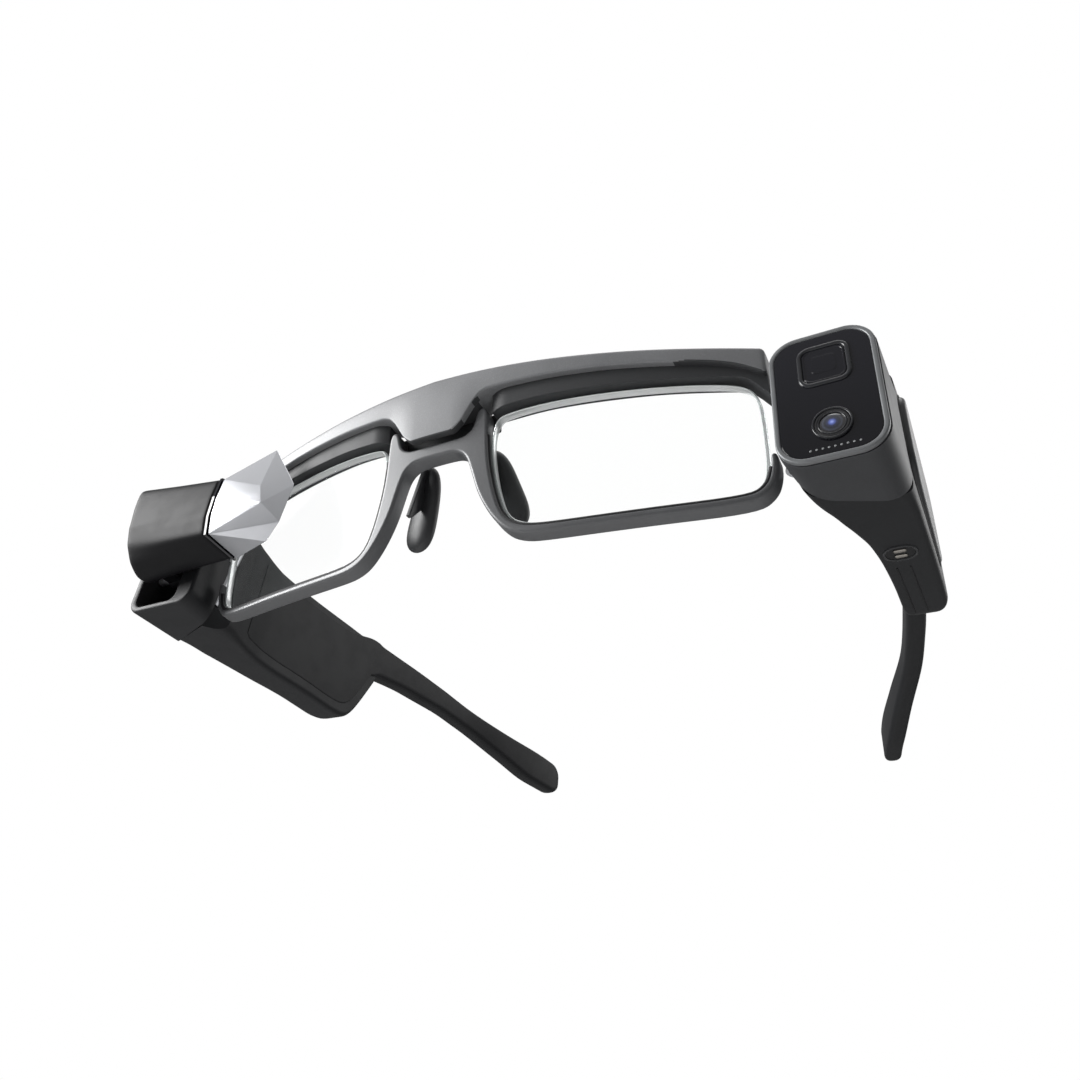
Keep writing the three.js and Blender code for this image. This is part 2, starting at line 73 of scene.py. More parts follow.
RECESS_START = 11.9                   # where the recessed bands begin beside the centre plate
PAD_TOP, PAD_FOOT = (6.9, 5.2, 9.8), (11.7, 11.2, -6.4)
WINDOW = (67.6, 76.3, 2.3, 11.4)      # square window of the camera (x0, x1, z0, z1)
TOUCH = (19, 53, -6, 13)              # touch plate of the left arm (y0, y1, z0, z1)
CONTACTS_AT = (76.3, 37.2)            # middle of the charging contacts (x, y)
NECK_X = (-75.0, -70.4)               # width of the display's neck on its axle
FLOOR_RADIUS, FLOOR_AT = 1.4, -0.5     # in metres
CAMERA_LENS, CAMERA_AT = 30.485, (86.63, -109.44, -107.41)
CAMERA_RIGHT, CAMERA_UP = (0.89003, 0.44818, 0.08358), (0.19727, -0.54386, 0.81566)
CAMERA_AHEAD = (-0.41101, 0.70947, 0.57247)
LAMPS = (                             # name, place in metres, width in metres, watts
    ("key", (-0.66, -0.46, 0.26), 0.45, 12.5), ("top", (0.05, -0.05, 0.95), 0.8, 4.0),
    ("rim", (0.55, 0.55, 0.45), 0.5, 2.0))

BROW_TOP = [(0, 20), (10, 19.6), (21, 18.9), (31.5, 18.0), (42, 17.0), (51.5, 16.0), (62.4, 14.9)]
BROW_STEP = [(0, 7.3), (4.2, 7.3), (5.9, 8.3), (9.0, 12.7), (10.4, 14.2), (12.6, 14.9), (21, 15.1),
             (31.5, 14.8), (42, 14.0), (51.5, 13.0), (57, 11.9), (62.4, 9.6)]
BROW_LOW = [(11.8, 10.9), (24, 11.6), (40, 11.3), (52, 10.6), (58, 10.0), (62.4, 6.0)]
LENS_LINE = [
    (12.6, 9.6), (14.6, 10.6), (24, 11.3), (40, 11.0), (52, 10.3), (58, 9.4), (60.0, 7.4), (60.6, 4.0),
    (60.6, -7.6), (59.6, -10.8), (56.8, -12.7), (40, -13.8), (24, -14.2), (18.2, -13.6), (15.2, -11.4),
    (13.4, -6.6), (12.0, 0), (11.6, 6.0)]
RIM_INNER = [
    (11.2, 12.2), (11.3, 6.0), (11.7, 0), (13.1, -6.8), (14.9, -11.7), (18.0, -14.0), (24, -14.6),
    (40, -14.2), (56.9, -13.1), (60.0, -11.0), (61.0, -7.6), (61.0, -5.0)]
RIM_OUTER = [
    (62.2, -5.0), (62.2, -8.2), (61.0, -11.8), (57.4, -14.5), (40, -15.6), (24, -16.0),
    (17.2, -15.6), (13.4, -12.6), (9.8, -6.6), (8.0, -0.6), (6.9, 2.5), (5.0, 3.9), (2.6, 4.1)]
ARM_TOP = [(0, 14.4), (20, 15.0), (45, 16.7), (60, 17.4), (78, 18.0)]
ARM_LOW = [(0, -13.4), (14, -12.2), (21.6, -11.1), (40, -9.8), (56, -8.9)]
ARM_INNER = [(8, 63.4), (13.4, 64.5), (18.1, 65.7), (23.1, 67.8), (28.9, 69.9), (34.6, 71.5), (44, 72.6),
             (54.4, 73.1), (66, 73.2), (78, 72.8)]
ARM_OUTER = [(8, 80.8), (20, 81.4), (60, 82.0), (78, 82.0)]
TIP_TOP = [(66, 18.0), (78, 18.7), (95, 18.4), (108, 17.5), (120, 15.8), (137, 13.0), (152, 11.5),
           (163, 10.2)]
TIP_LOW = [(66, 6.6), (78, 8.2), (95, 10.0), (108, 10.2), (120, 9.0), (137, 4.4), (150, 1.2), (163, 0.6)]
TIP_INNER = [(66, 73.2), (78, 72.8), (95, 71.0), (104, 69.7), (120, 66.5), (137, 60.5), (153, 55.4),
             (162, 53.4), (164.5, 53.0)]
HOUSING_IN = [(-8.8, 9.1), (-9.1, 4), (-8.9, -1), (-8.0, -5.1), (1.3, -5.6), (0.2, 6), (-1.6, 10.4),
              (-5.5, 10.4)]
HOUSING_OUT = [(-10, 12.2), (-10.0, 7), (-9.4, 1.5), (-8.2, -2.2), (-5.8, -5.6), (-2.9, -7.6), (0.6, -7.4),
               (0.4, 6), (-1.6, 12.2)]
HOUSING_X = (-51.8, -75.5)

ring_low, ring_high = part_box("camera_lens_ring")
ORIGIN = Vector(((ring_low[0] + ring_high[0]) / 2 - LENS_AT[0] * MM, ring_low[1] - RING_FRONT * MM,
                 (ring_low[2] + ring_high[2]) / 2 - LENS_AT[1] * MM))


# ---------------------------------------------------------------- settings
class FrontSettings(bpy.types.PropertyGroup):
    """Sizes and colours of the front frame."""
    wrap: FloatProperty(name="Face Wrap", description="How fast the front curves back towards its ends",
                        default=0.00256, min=0.0, max=0.01)
    brow_round: FloatProperty(name="Brow Edge",
                              description="Radius of the brow's top front edge, in millimetres",
                              default=0.8, min=0.1, max=2.0)
    rim_round: FloatProperty(name="Rim Edge", description="Radius of the rims' front edges, in millimetres",
                             default=0.55, min=0.1, max=0.7)
    brow_colour: FloatVectorProperty(name="Brow Colour", description="Satin grey of the brow's upper band",
                                     subtype="COLOR", default=(0.168, 0.171, 0.177), min=0, max=1)
    rim_colour: FloatVectorProperty(name="Rim Colour", description="Grey of the rims and the bridge",
                                    subtype="COLOR", default=(0.092, 0.094, 0.098), min=0, max=1)


class CameraSettings(bpy.types.PropertyGroup):
    """Sizes and colours of the camera module."""
    corner: FloatProperty(name="Corner", description="Corner radius of the module's face, in millimetres",
                          default=5.0, min=1.0, max=8.0)
    bezel: FloatProperty(name="Bezel", description="Width of the bright bezel, in millimetres",
                         default=0.9, min=0.3, max=2.0)
    dots: IntProperty(name="Marks", description="Number of plain marks under the camera lens",
                      default=9, min=0, max=20)
    panel_colour: FloatVectorProperty(name="Panel Colour", description="Glossy black of the camera panel",
                                      subtype="COLOR", default=(0.004, 0.004, 0.006), min=0, max=1)


class ArmSettings(bpy.types.PropertyGroup):
    """Sizes and colours of the arms."""
    edge: FloatProperty(name="Arm Edge", description="Radius of the arms' long edges, in millimetres",
                        default=1.5, min=0.3, max=3.0)
    colour: FloatVectorProperty(name="Arm Colour", description="Charcoal of the moulded arms",
                                subtype="COLOR", default=(0.0105, 0.011, 0.0125), min=0, max=1)


class DisplaySettings(bpy.types.PropertyGroup):
    """Colours of the display unit."""
    colour: FloatVectorProperty(name="Housing Colour", description="Black of the display housing",
                                subtype="COLOR", default=(0.006, 0.006, 0.007), min=0, max=1)
    crystal: FloatVectorProperty(name="Crystal Colour", description="Silvery white of the prism",
                                 subtype="COLOR", default=(0.62, 0.63, 0.66), min=0, max=1)


# ---------------------------------------------------------------- shape helpers
def place(x, y, z):
    """A point of the design, in metres of the frame."""
    return ORIGIN + Vector((x, y, z)) * MM


def front_y(x, z):
    """How far back the front surface lies at x, z."""
    return RIM_FRONT + bpy.context.scene.glasses_front.wrap * x * x - LEAN * (z - LEAN_Z)


def on_front(x, z, depth):
    """A point that far behind the front surface at x, z."""
    return place(x, front_y(x, z) + depth, z)


def upright(x, z, y):
    """A point of an upright sheet that faces forward."""
    return place(x, y, z)


def mirrored(half):
    """The other half of an outline, in going order."""
    return [(-x, z) for x, z in reversed(half)]


def between(table, u):
    """Smooth value of a table of (u, v) pairs at u, with no overshoot."""
    if u <= table[0][0]:
        return table[0][1]
    if u >= table[-1][0]:
        return table[-1][1]
    k = next(i for i in range(1, len(table)) if table[i][0] >= u)

    def rise(i):
        return (table[i][1] - table[i - 1][1]) / (table[i][0] - table[i - 1][0])

    def slope(i):
        if i == 0:
            return rise(1)
        if i == len(table) - 1:
            return rise(i)
        a, b = rise(i), rise(i + 1)
        return 0.0 if a * b <= 0 else 2 * a * b / (a + b)

    span = table[k][0] - table[k - 1][0]
    t = (u - table[k - 1][0]) / span
    return (table[k - 1][1] * (1 + 2 * t) * (1 - t) ** 2 + table[k][1] * t * t * (3 - 2 * t)
            + slope(k - 1) * span * t * (1 - t) ** 2 - slope(k) * span * t * t * (1 - t))


def curve(a, corner, b, t):
    """A point of the short curve from a to b that heads for the corner."""
    return a * (1 - t) ** 2 + corner * 2 * t * (1 - t) + b * t * t


def rounded(corners, radii, steps=4):
    """A closed outline with each corner turned into a short curve."""
    count = len(corners)
    radii = radii if isinstance(radii, (list, tuple)) else [radii] * count
    points = []
    for i, corner in enumerate(corners):
        here = Vector(corner)
        ends = []
        for neighbour in (corners[i - 1], corners[(i + 1) % count]):
            way = Vector(neighbour) - here
            reach = min(radii[i], way.length * 0.499)
            ends.append(here + way.normalized() * reach if way.length > 1e-9 else here)
        points += [curve(ends[0], here, ends[1], k / steps) for k in range(steps + 1)]
    return points


def round_box(u0, u1, v0, v1, radius, steps=6):
    """A rectangle with circular corners."""
    points = []
    for cu, cv, start in ((u1 - radius, v1 - radius, 0), (u0 + radius, v1 - radius, 90),
                          (u0 + radius, v0 + radius, 180), (u1 - radius, v0 + radius, 270)):
        for k in range(steps + 1):
            a = math.radians(start + 90 * k / steps)
            points.append(Vector((cu + radius * math.cos(a), cv + radius * math.sin(a))))
    return points


def inset(points, distance):
    """The outline moved inwards."""
    count = len(points)
    area = sum(points[i - 1].x * points[i].y - points[i].x * points[i - 1].y for i in range(count))
    side = 1.0 if area > 0 else -1.0
    moved = []
    for i in range(count):
        back, ahead = points[i - 1], points[(i + 1) % count]
        a, b = (points[i] - back), (ahead - points[i])
        if a.length < 1e-7:
            a = b
        if b.length < 1e-7:
            b = a
        way = a.normalized() + b.normalized()
        way = Vector((-way.y, way.x)).normalized()
        stretch = max(0.6, way.dot(Vector((-a.y, a.x)).normalized()))
        moved.append(points[i] + way * side * distance / stretch)
    return moved


def spread(corners, steps=5):
    """An open line through rounded corners."""
    points = [Vector(corners[0])]
    for before, here, after in zip(corners, corners[1:], corners[2:]):
        before, here, after = Vector(before), Vector(here), Vector(after)
        points += [curve((before + here) / 2, here, (here + after) / 2, k / steps) for k in range(steps)]
    return points + [(Vector(corners[-2]) + Vector(corners[-1])) / 2, Vector(corners[-1])]


def tidy_outline(points, gap=0.02):
    """The outline without points that lie on top of each other."""
    kept = [points[0]]
    for p in points[1:]:
        if (p - kept[-1]).length > gap:
            kept.append(p)
    if (kept[0] - kept[-1]).length <= gap:
        kept.pop()
    return kept


def bridge_rows(bm, a, b, mark):
    """Faces between two closed rows of vertices."""
    for i, j in zip(range(len(a)), [*range(1, len(a)), 0]):
        bm.faces.new((a[i], a[j], b[j], b[i])).material_index = mark


def fan(bm, row, hub, mark):
    """Faces from a closed row of vertices to one vertex."""
    for i, j in zip(range(len(row)), [*range(1, len(row)), 0]):
        bm.faces.new((row[i], row[j], hub)).material_index = mark


def loft(bm, rings, mark=0):
    """Faces between neighbouring rings of points, with a fan over each open end."""
    rows = [[bm.verts.new(p) for p in ring] for ring in rings]
    for a, b in zip(rows, rows[1:]):
        bridge_rows(bm, a, b, mark)
    for row in (rows[0], rows[-1]):
        fan(bm, row, bm.verts.new(sum((v.co for v in row), Vector()) / len(row)), mark)


def plate(bm, outline, point, near, far, edge, mark=0, steps=5, radial=0, centre=(0, 0)):
    """A sheet of the outline with rounded edges. point(u, v, depth) puts it in space.

    With radial > 0 the two faces are made of that many rings round the centre, so they may be curved.
    """
    lip = 0.12
    sides = []
    for k in range(steps + 1):
        a = math.radians(90 * k / steps)
        sides.append((edge * (1 - math.sin(a)), near + edge * (1 - math.cos(a))))
    back = [(d, far - (depth - near)) for d, depth in reversed(sides)]
    rows = []
    for distance, depth in [(edge + lip, near)] + sides + back + [(edge + lip, far)]:
        shape = inset(outline, distance) if distance > 1e-6 else outline
        rows.append([bm.verts.new(point(p.x, p.y, depth)) for p in shape])
    for a, b in zip(rows, rows[1:]):
        bridge_rows(bm, a, b, mark)
    for row, depth in ((rows[0], near), (rows[-1], far)):
        if radial:
            flat, middle = inset(outline, edge + lip), Vector(centre)
            for k in range(1, radial):
                t = 1 - k / radial
                ring = [bm.verts.new(point(*(middle + (p - middle) * t), depth)) for p in flat]
                bridge_rows(bm, row, ring, mark)
                row = ring
            fan(bm, row, bm.verts.new(point(*middle, depth)), mark)
        else:
            edges = [bm.edges.get(pair) for pair in zip(row, row[1:] + row[:1])]
            for face in bmesh.ops.triangle_fill(bm, use_beauty=True, edges=edges)["geom"]:
                if isinstance(face, bmesh.types.BMFace):
                    face.material_index = mark


def flat_plate(point, *sheets):
    """A bmesh of sheets, each (outline, near, far, edge, mark), all put in space by point(u, v, depth)."""
    bm = bmesh.new()
    for outline, near, far, edge, mark in sheets:
        plate(bm, outline, point, near, far, edge, mark)
    return bm


def cut(bm, co, normal):
    """Keeps what lies ahead of the plane, and closes the cut."""
    bmesh.ops.bisect_plane(bm, geom=bm.verts[:] + bm.edges[:] + bm.faces[:], plane_co=co, plane_no=normal,
                           clear_inner=True)
    bmesh.ops.holes_fill(bm, edges=[e for e in bm.edges if e.is_boundary])


def add_piece(name, bm, body, coats, nodes=(), crease=38.0):
    """Makes the mesh an object, gives it its finishes, and lets it ride on its body."""
    bmesh.ops.remove_doubles(bm, verts=bm.verts, dist=2e-7)
    bmesh.ops.recalc_face_normals(bm, faces=bm.faces)
    mesh = bpy.data.meshes.new(name)
    bm.to_mesh(mesh)
    bm.free()
    add_mesh(name, mesh, body, coats, nodes, crease)


def add_mesh(name, mesh, body, coats, nodes=(), crease=38.0):
    """An object of a finished mesh, riding on its body."""
    if not mesh.polygons:
        raise RuntimeError(f"{name} came out with no faces")
    for coat in coats:
        mesh.materials.append(finishes()[coat])
    for face in mesh.polygons:
        face.use_smooth = True
    mesh.set_sharp_from_angle(angle=math.radians(crease))
    piece = bpy.data.objects.new(name, mesh)
    bpy.context.scene.collection.objects.link(piece)
    if nodes:
        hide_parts(*nodes)
    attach(piece, body)


def add_line(name, tree, path, radius, body, coat, closed=False):
    """A thin round line along a path, its radius in millimetres."""
    mesh = grown_mesh(name, tree, {"Radius": radius * MM, "Material": finishes()[coat]}, path, closed)
    add_mesh(name, mesh, body, [coat])


def quarter(t):
    """Fall of a quarter circle at t, from 0 to 1."""
    return 1 - math.sqrt(max(0.0, 1 - t * t))


def ease(t):
    """Smooth step from 0 to 1."""
    t = min(1.0, max(0.0, t))
    return t * t * (3 - 2 * t)


def seam_plane(side, turn=0.0, gap=0.0):
    """A point and the backward direction of the plane where the front meets an arm."""
    cant = math.radians(HINGE_CANT)
    axis = Vector((math.sin(cant), 0, math.cos(cant)))
    out = Vector((side, SEAM_SLOPE, 0))
    out = (out - axis * out.dot(axis)).normalized()
    back = axis.cross(out) * side
    back.rotate(Quaternion(axis, -side * math.radians(turn)))
    return place(side * HINGE_X, HINGE_Y, 0) + back * gap * MM, back


# ---------------------------------------------------------------- geometry node helpers
def new_tree(name, sizes):
    """A geometry node tree with a geometry input and output and the named inputs."""
    tree = bpy.data.node_groups.new(name, "GeometryNodeTree")
    tree.interface.new_socket("Geometry", in_out="INPUT", socket_type="NodeSocketGeometry")
    for label, kind, default in sizes:
        socket = tree.interface.new_socket(label, in_out="INPUT", socket_type=kind)
        if default is not None:
            socket.default_value = default
    tree.interface.new_socket("Geometry", in_out="OUTPUT", socket_type="NodeSocketGeometry")
    return tree


def tree_node(tree, kind, settings=None, sockets=None):
    """A node with its settings made first, then the values or links of its sockets."""
    node = tree.nodes.new(kind)
    for key, value in (settings or {}).items():
        setattr(node, key, value)
    for key, value in (sockets or {}).items():
        if isinstance(value, bpy.types.NodeSocket):
            tree.links.new(value, node.inputs[key])
        else:
            node.inputs[key].default_value = value
    return node


def finish_tree(tree, geometry, material):
    """Ends a tree in real geometry that carries its material."""
    real = tree_node(tree, "GeometryNodeRealizeInstances", sockets={"Geometry": geometry})
    coat = tree_node(tree, "GeometryNodeSetMaterial",
                     sockets={"Geometry": real.outputs[0], "Material": material})
    end = tree.nodes.new("NodeGroupOutput")
    tree.links.new(coat.outputs[0], end.inputs[0])


def ring_tree():
    """A rounded rectangular ring round the Y axis, of a given band, depth and edge radius."""
    tree = new_tree("Ring", [
        ("Width", "NodeSocketFloat", 0.01), ("Height", "NodeSocketFloat", 0.01),
        ("Corner", "NodeSocketFloat", 0.002), ("Band", "NodeSocketFloat", 0.001),
        ("Depth", "NodeSocketFloat", 0.001), ("Edge", "NodeSocketFloat", 0.0002),
        ("Centre", "NodeSocketVector", (0, 0, 0)), ("Material", "NodeSocketMaterial", None)])
    start = tree.nodes.new("NodeGroupInput").outputs
    path = tree_node(tree, "GeometryNodeCurvePrimitiveQuadrilateral",
                     sockets={"Width": start["Width"], "Height": start["Height"]})
    bend = tree_node(tree, "GeometryNodeFilletCurve", {"mode": "POLY"},
                     {"Curve": path.outputs[0], "Radius": start["Corner"], "Count": 12})
    up = tree_node(tree, "GeometryNodeSetCurveNormal", {"mode": "Z_UP"}, {"Curve": bend.outputs[0]})
    section = tree_node(tree, "GeometryNodeCurvePrimitiveQuadrilateral",
                        sockets={"Width": start["Band"], "Height": start["Depth"]})
    soft = tree_node(tree, "GeometryNodeFilletCurve", {"mode": "POLY"},
                     {"Curve": section.outputs[0], "Radius": start["Edge"], "Count": 4})
    sweep = tree_node(tree, "GeometryNodeCurveToMesh",
                      sockets={"Curve": up.outputs[0], "Profile Curve": soft.outputs[0]})
    stand = tree_node(tree, "GeometryNodeTransform", sockets={
        "Geometry": sweep.outputs[0], "Rotation": (math.pi / 2, 0, 0), "Translation": start["Centre"]})
    finish_tree(tree, stand.outputs[0], start["Material"])
    return tree


def row_tree():
    """A straight row of small flat dots."""
    tree = new_tree("Row of Dots", [
        ("Count", "NodeSocketInt", 8), ("First", "NodeSocketVector", (0, 0, 0)),
        ("Step", "NodeSocketVector", (0.001, 0, 0)), ("Size", "NodeSocketVector", (0.3, 0.1, 0.2)),
        ("Material", "NodeSocketMaterial", None)])
    start = tree.nodes.new("NodeGroupInput").outputs
    line = tree_node(tree, "GeometryNodeMeshLine", {"mode": "OFFSET"},
                     {"Count": start["Count"], "Start Location": start["First"], "Offset": start["Step"]})
    dot = tree_node(tree, "GeometryNodeMeshUVSphere", sockets={"Segments": 12, "Rings": 6, "Radius": 0.001})
    spread = tree_node(tree, "GeometryNodeInstanceOnPoints", sockets={
        "Points": line.outputs[0], "Instance": dot.outputs[0], "Scale": start["Size"]})
    finish_tree(tree, spread.outputs[0], start["Material"])
    return tree


def thread_tree():
    """A thin round line along a path of joined points."""
    tree = new_tree("Line along a Path", [
        ("Radius", "NodeSocketFloat", 0.0002), ("Material", "NodeSocketMaterial", None)])
    start = tree.nodes.new("NodeGroupInput").outputs
    path = tree_node(tree, "GeometryNodeMeshToCurve", sockets={"Mesh": start["Geometry"]})
    section = tree_node(tree, "GeometryNodeCurvePrimitiveCircle", sockets={"Resolution": 8})
    tree.links.new(start["Radius"], next(s for s in section.inputs if s.name == "Radius" and s.enabled))
    sweep = tree_node(tree, "GeometryNodeCurveToMesh", sockets={
        "Curve": path.outputs[0], "Profile Curve": section.outputs[0], "Fill Caps": True})
    finish_tree(tree, sweep.outputs[0], start["Material"])
    return tree


def grown_mesh(name, tree, values, points=(), closed=False):
    """Runs a tree with its inputs set, on a path of points if there is one, and returns the plain mesh."""
    seed = bpy.data.meshes.new(name + "_seed")
    links = [(i, i + 1) for i in range(len(points) - 1)] + ([(len(points) - 1, 0)] if closed else [])
    seed.from_pydata([tuple(p) for p in points], links, [])
    carrier = bpy.data.objects.new(name + "_seed", seed)
    bpy.context.scene.collection.objects.link(carrier)
    change = carrier.modifiers.new("grow", "NODES")
    change.node_group = tree
    for socket in tree.interface.items_tree:
        if socket.item_type == "SOCKET" and socket.in_out == "INPUT" and socket.name in values:
            change[socket.identifier] = values[socket.name]
    bpy.context.view_layer.update()
    result = bpy.data.meshes.new_from_object(carrier.evaluated_get(bpy.context.evaluated_depsgraph_get()))
    carrier.modifiers.remove(change)
    bpy.data.objects.remove(carrier)
    bpy.data.meshes.remove(seed)
    result.name = name
    result.materials.clear()
    return result


def joined(meshes):
    """One bmesh of several meshes."""
    bm = bmesh.new()
    for mesh in meshes:
        bm.from_mesh(mesh)
    return bm


# ---------------------------------------------------------------- finishes
class Wire:
    """A node's output that takes part in arithmetic."""

    def __init__(self, finish, socket):
        self.finish, self.socket = finish, socket

    def _with(self, operation, left, right):
        return self.finish.node("Math", {"operation": operation}, {0: left, 1: right})

    def __add__(self, other):
        return self._with("ADD", self, other)

    def __mul__(self, other):
        return self._with("MULTIPLY", self, other)

    def __truediv__(self, other):
        return self._with("DIVIDE", self, other)

    def __lt__(self, other):
        return self._with("LESS_THAN", self, other)

    __radd__ = __add__
    __rmul__ = __mul__


FINISHES = {}


class Finish:
    """A material under construction, kept in FINISHES under its plain name."""

    def __init__(self, name):
        self.material = bpy.data.materials.new(f"{name}_finish")
        FINISHES[name] = self.material
        self.material.use_nodes = True
        self.tree = self.material.node_tree
        self.tree.nodes.clear()
        self.place = self.node("TexCoord", output="Object")

    def node(self, kind, settings=None, sockets=None, output=0):
        """A shader node of that kind: its settings and colour stops first, then its sockets."""
        settings = dict(settings or {})
        stops = settings.pop("stops", ())
        node = tree_node(self.tree, "ShaderNode" + kind, settings, {
            key: value.socket if isinstance(value, Wire) else value for key, value in (sockets or {}).items()})
        while stops and len(node.color_ramp.elements) < len(stops):
            node.color_ramp.elements.new(0.5)
        for element, (at, colour) in zip(node.color_ramp.elements if stops else (), stops):
            element.position, element.color = at, colour
        return Wire(self, node.outputs[output])

    def noise(self, size, detail=2.0, stretch=(1, 1, 1), roughness=0.5):
        """Soft noise whose lumps are about size millimetres across."""
        at = self.node("Mapping", {}, {"Vector": self.place, "Scale": stretch})
        return self.node("TexNoise", {}, {
            "Vector": at, "Scale": 1000.0 / size, "Detail": detail, "Roughness": roughness})

    def band(self, value, low, high, colour_low=0.0, colour_high=1.0):
        """The value mapped from low..high to two greys, held at both ends."""
        return self.node("MapRange", {"clamp": True}, {
            "Value": value, "From Min": low, "From Max": high, "To Min": colour_low, "To Max": colour_high})

    def mix(self, factor, first, second):
        """Two colours mixed."""
        return self.node("Mix", {"data_type": "RGBA"}, {0: factor, 6: first, 7: second}, output=2)

    def axis(self, name):
        """One object coordinate, in metres."""
        return self.node("SeparateXYZ", {}, {"Vector": self.place}, output=name)

    def bump(self, height, strength, distance):
        """A normal raised by the height."""
        return self.node("Bump", {}, {"Height": height, "Strength": strength, "Distance": distance})

    def surface(self, sockets):
        """A principled surface, joined to the output."""
        return self.output(self.node("BsdfPrincipled", {}, sockets, output="BSDF"))

    def output(self, shader):
        """The material, its surface joined to the shader."""
        end = self.tree.nodes.new("ShaderNodeOutputMaterial")
        self.tree.links.new(shader.socket, end.inputs["Surface"])
        return self.material


def rgba(colour, gain=1.0):
    """The colour made brighter or darker, with full cover."""
    return (*[min(1.0, c * gain) for c in colour], 1.0)


def satin_paint(name, colour, rough=0.42, metal=0.25, speckle=0.35, coat=0.12):
    """Sprayed satin paint with a fine metallic speckle, and paler where edges are handled."""
    f = Finish(name)
    flecks = f.band(f.noise(0.12, 1.0), 0.52, 0.72)
    clouds = f.noise(9.0, 3.0)
    worn = f.band(f.node("NewGeometry", output="Pointiness"), 0.52, 0.60)
    base = f.mix(f.band(clouds, 0.3, 0.7), rgba(colour, 0.93), rgba(colour, 1.07))
    base = f.mix(flecks * speckle, base, rgba(colour, 1.9))
    base = f.mix(worn * 0.35, base, rgba(colour, 1.5))
    orange_peel = f.noise(0.45, 2.0)
    return f.surface({
        "Base Color": base, "Metallic": metal, "Coat Weight": coat, "Coat Roughness": 0.25,
        "Roughness": rough - 0.05 + clouds * 0.1 + flecks * 0.06,
        "Normal": f.bump(orange_peel + flecks * 0.4, 0.12, 0.00003)})


def moulded(name, colour, rough=0.5, grain=0.25, strength=0.2, coat=0.0, shine=0.32):
    """Moulded plastic with an eroded grain, faint flow clouds and rubbed edges."""
    f = Finish(name)
    pits = f.noise(grain, 3.0, roughness=0.7)
    clouds = f.noise(14.0, 3.0)
    smudge = f.band(f.noise(5.0, 4.0, roughness=0.65), 0.45, 0.75)
    worn = f.band(f.node("NewGeometry", output="Pointiness"), 0.53, 0.62)
    base = f.mix(clouds, rgba(colour, 0.95), rgba(colour, 1.06))
    base = f.mix(f.band(pits, 0.5, 0.8) * 0.35, base, rgba(colour, 1.7))
    base = f.mix(worn * 0.3, base, rgba(colour, 2.2))
    return f.surface({
        "Base Color": base, "Roughness": rough - 0.02 + smudge * 0.05 + pits * 0.05, "Coat Weight": coat,
        "Specular IOR Level": shine, "Normal": f.bump(pits, strength, 0.00004)})


def gloss(name, colour, rough=0.06):
    """Glossy black with a hint of finger smear, and painted light: lighter towards the top."""
    f = Finish(name)
    smear = f.band(f.noise(6.0, 4.0, (1, 1, 2.5), 0.6), 0.5, 0.8)
    # painted light: depth is a painted gradient that makes the black lighter towards the top, in place of
    # reflected light
    depth = f.band(f.axis("Z"), 0.0, 0.032)
    base = f.mix(depth, rgba(colour, 0.7), rgba(colour, 1.8))
    return f.surface({
        "Base Color": base, "Roughness": rough + smear * 0.07, "Coat Weight": 0.15, "Coat Roughness": 0.03,
        "Specular IOR Level": 0.35, "Normal": f.bump(f.noise(12.0, 1.0), 0.02, 0.0001)})


def clear_lens(name):
    """Clear lens: see-through, with a faint coated sheen at a slant."""
    f = Finish(name)
    rim = f.node("Fresnel", {}, {"IOR": 1.5})
    smear = f.band(f.noise(11.0, 4.0, roughness=0.6), 0.45, 0.8)
    through = f.node("BsdfTransparent", {}, {"Color": (0.997, 0.999, 0.998, 1)})
    sheen = f.node("BsdfPrincipled", {}, {
        "Base Color": f.mix(smear, (0.80, 0.88, 0.87, 1), (0.88, 0.90, 0.92, 1)),
        "Roughness": 0.03 + smear * 0.05, "Specular IOR Level": 0.7}, output="BSDF")
    share = rim * 0.03 + smear * 0.002
    return f.output(f.node("MixShader", {}, {0: share, 1: through, 2: sheen}))


def lens_edge(name):
    """Polished edge of a lens: slightly green, with a painted highlight: pale, with a bright line."""
    f = Finish(name)
    drift = f.noise(8.0, 2.0)
    # painted highlight: the pale base stands in for light caught by the bevelled edge; the green of the
    # see-through part is the edge's own tint
    base = f.mix(drift, (0.80, 0.82, 0.82, 1), (0.95, 0.96, 0.96, 1))
    through = f.node("BsdfTransparent", {}, {"Color": (0.80, 0.86, 0.85, 1)})
    shine = f.node("BsdfPrincipled", {}, {
        "Base Color": base, "Roughness": 0.12 + drift * 0.08, "Metallic": 0.35}, output="BSDF")
    return f.output(f.node("MixShader", {}, {0: 0.55 + drift * 0.3, 1: through, 2: shine}))


def rubber(name, colour=(0.020, 0.021, 0.023)):
    """Soft silicone with a fine matte grain."""
    f = Finish(name)
    grain = f.noise(0.18, 2.0)
    dust = f.band(f.noise(3.5, 4.0), 0.55, 0.8)
    return f.surface({
        "Base Color": f.mix(dust * 0.3, rgba(colour), rgba(colour, 2.0)), "Roughness": 0.46 + dust * 0.12,
        "Specular IOR Level": 0.55, "Normal": f.bump(grain, 0.18, 0.00003)})


def brushed(name, colour, stretch=(1, 1, 12), rough=0.28):
    """Brushed or turned metal."""
    f = Finish(name)
    lines = f.noise(1.2, 4.0, stretch, 0.7)
    return f.surface({
        "Base Color": f.mix(lines, rgba(colour, 0.8), rgba(colour, 1.15)), "Metallic": 1.0,
        "Roughness": rough + lines * 0.18, "Normal": f.bump(lines, 0.15, 0.00002)})


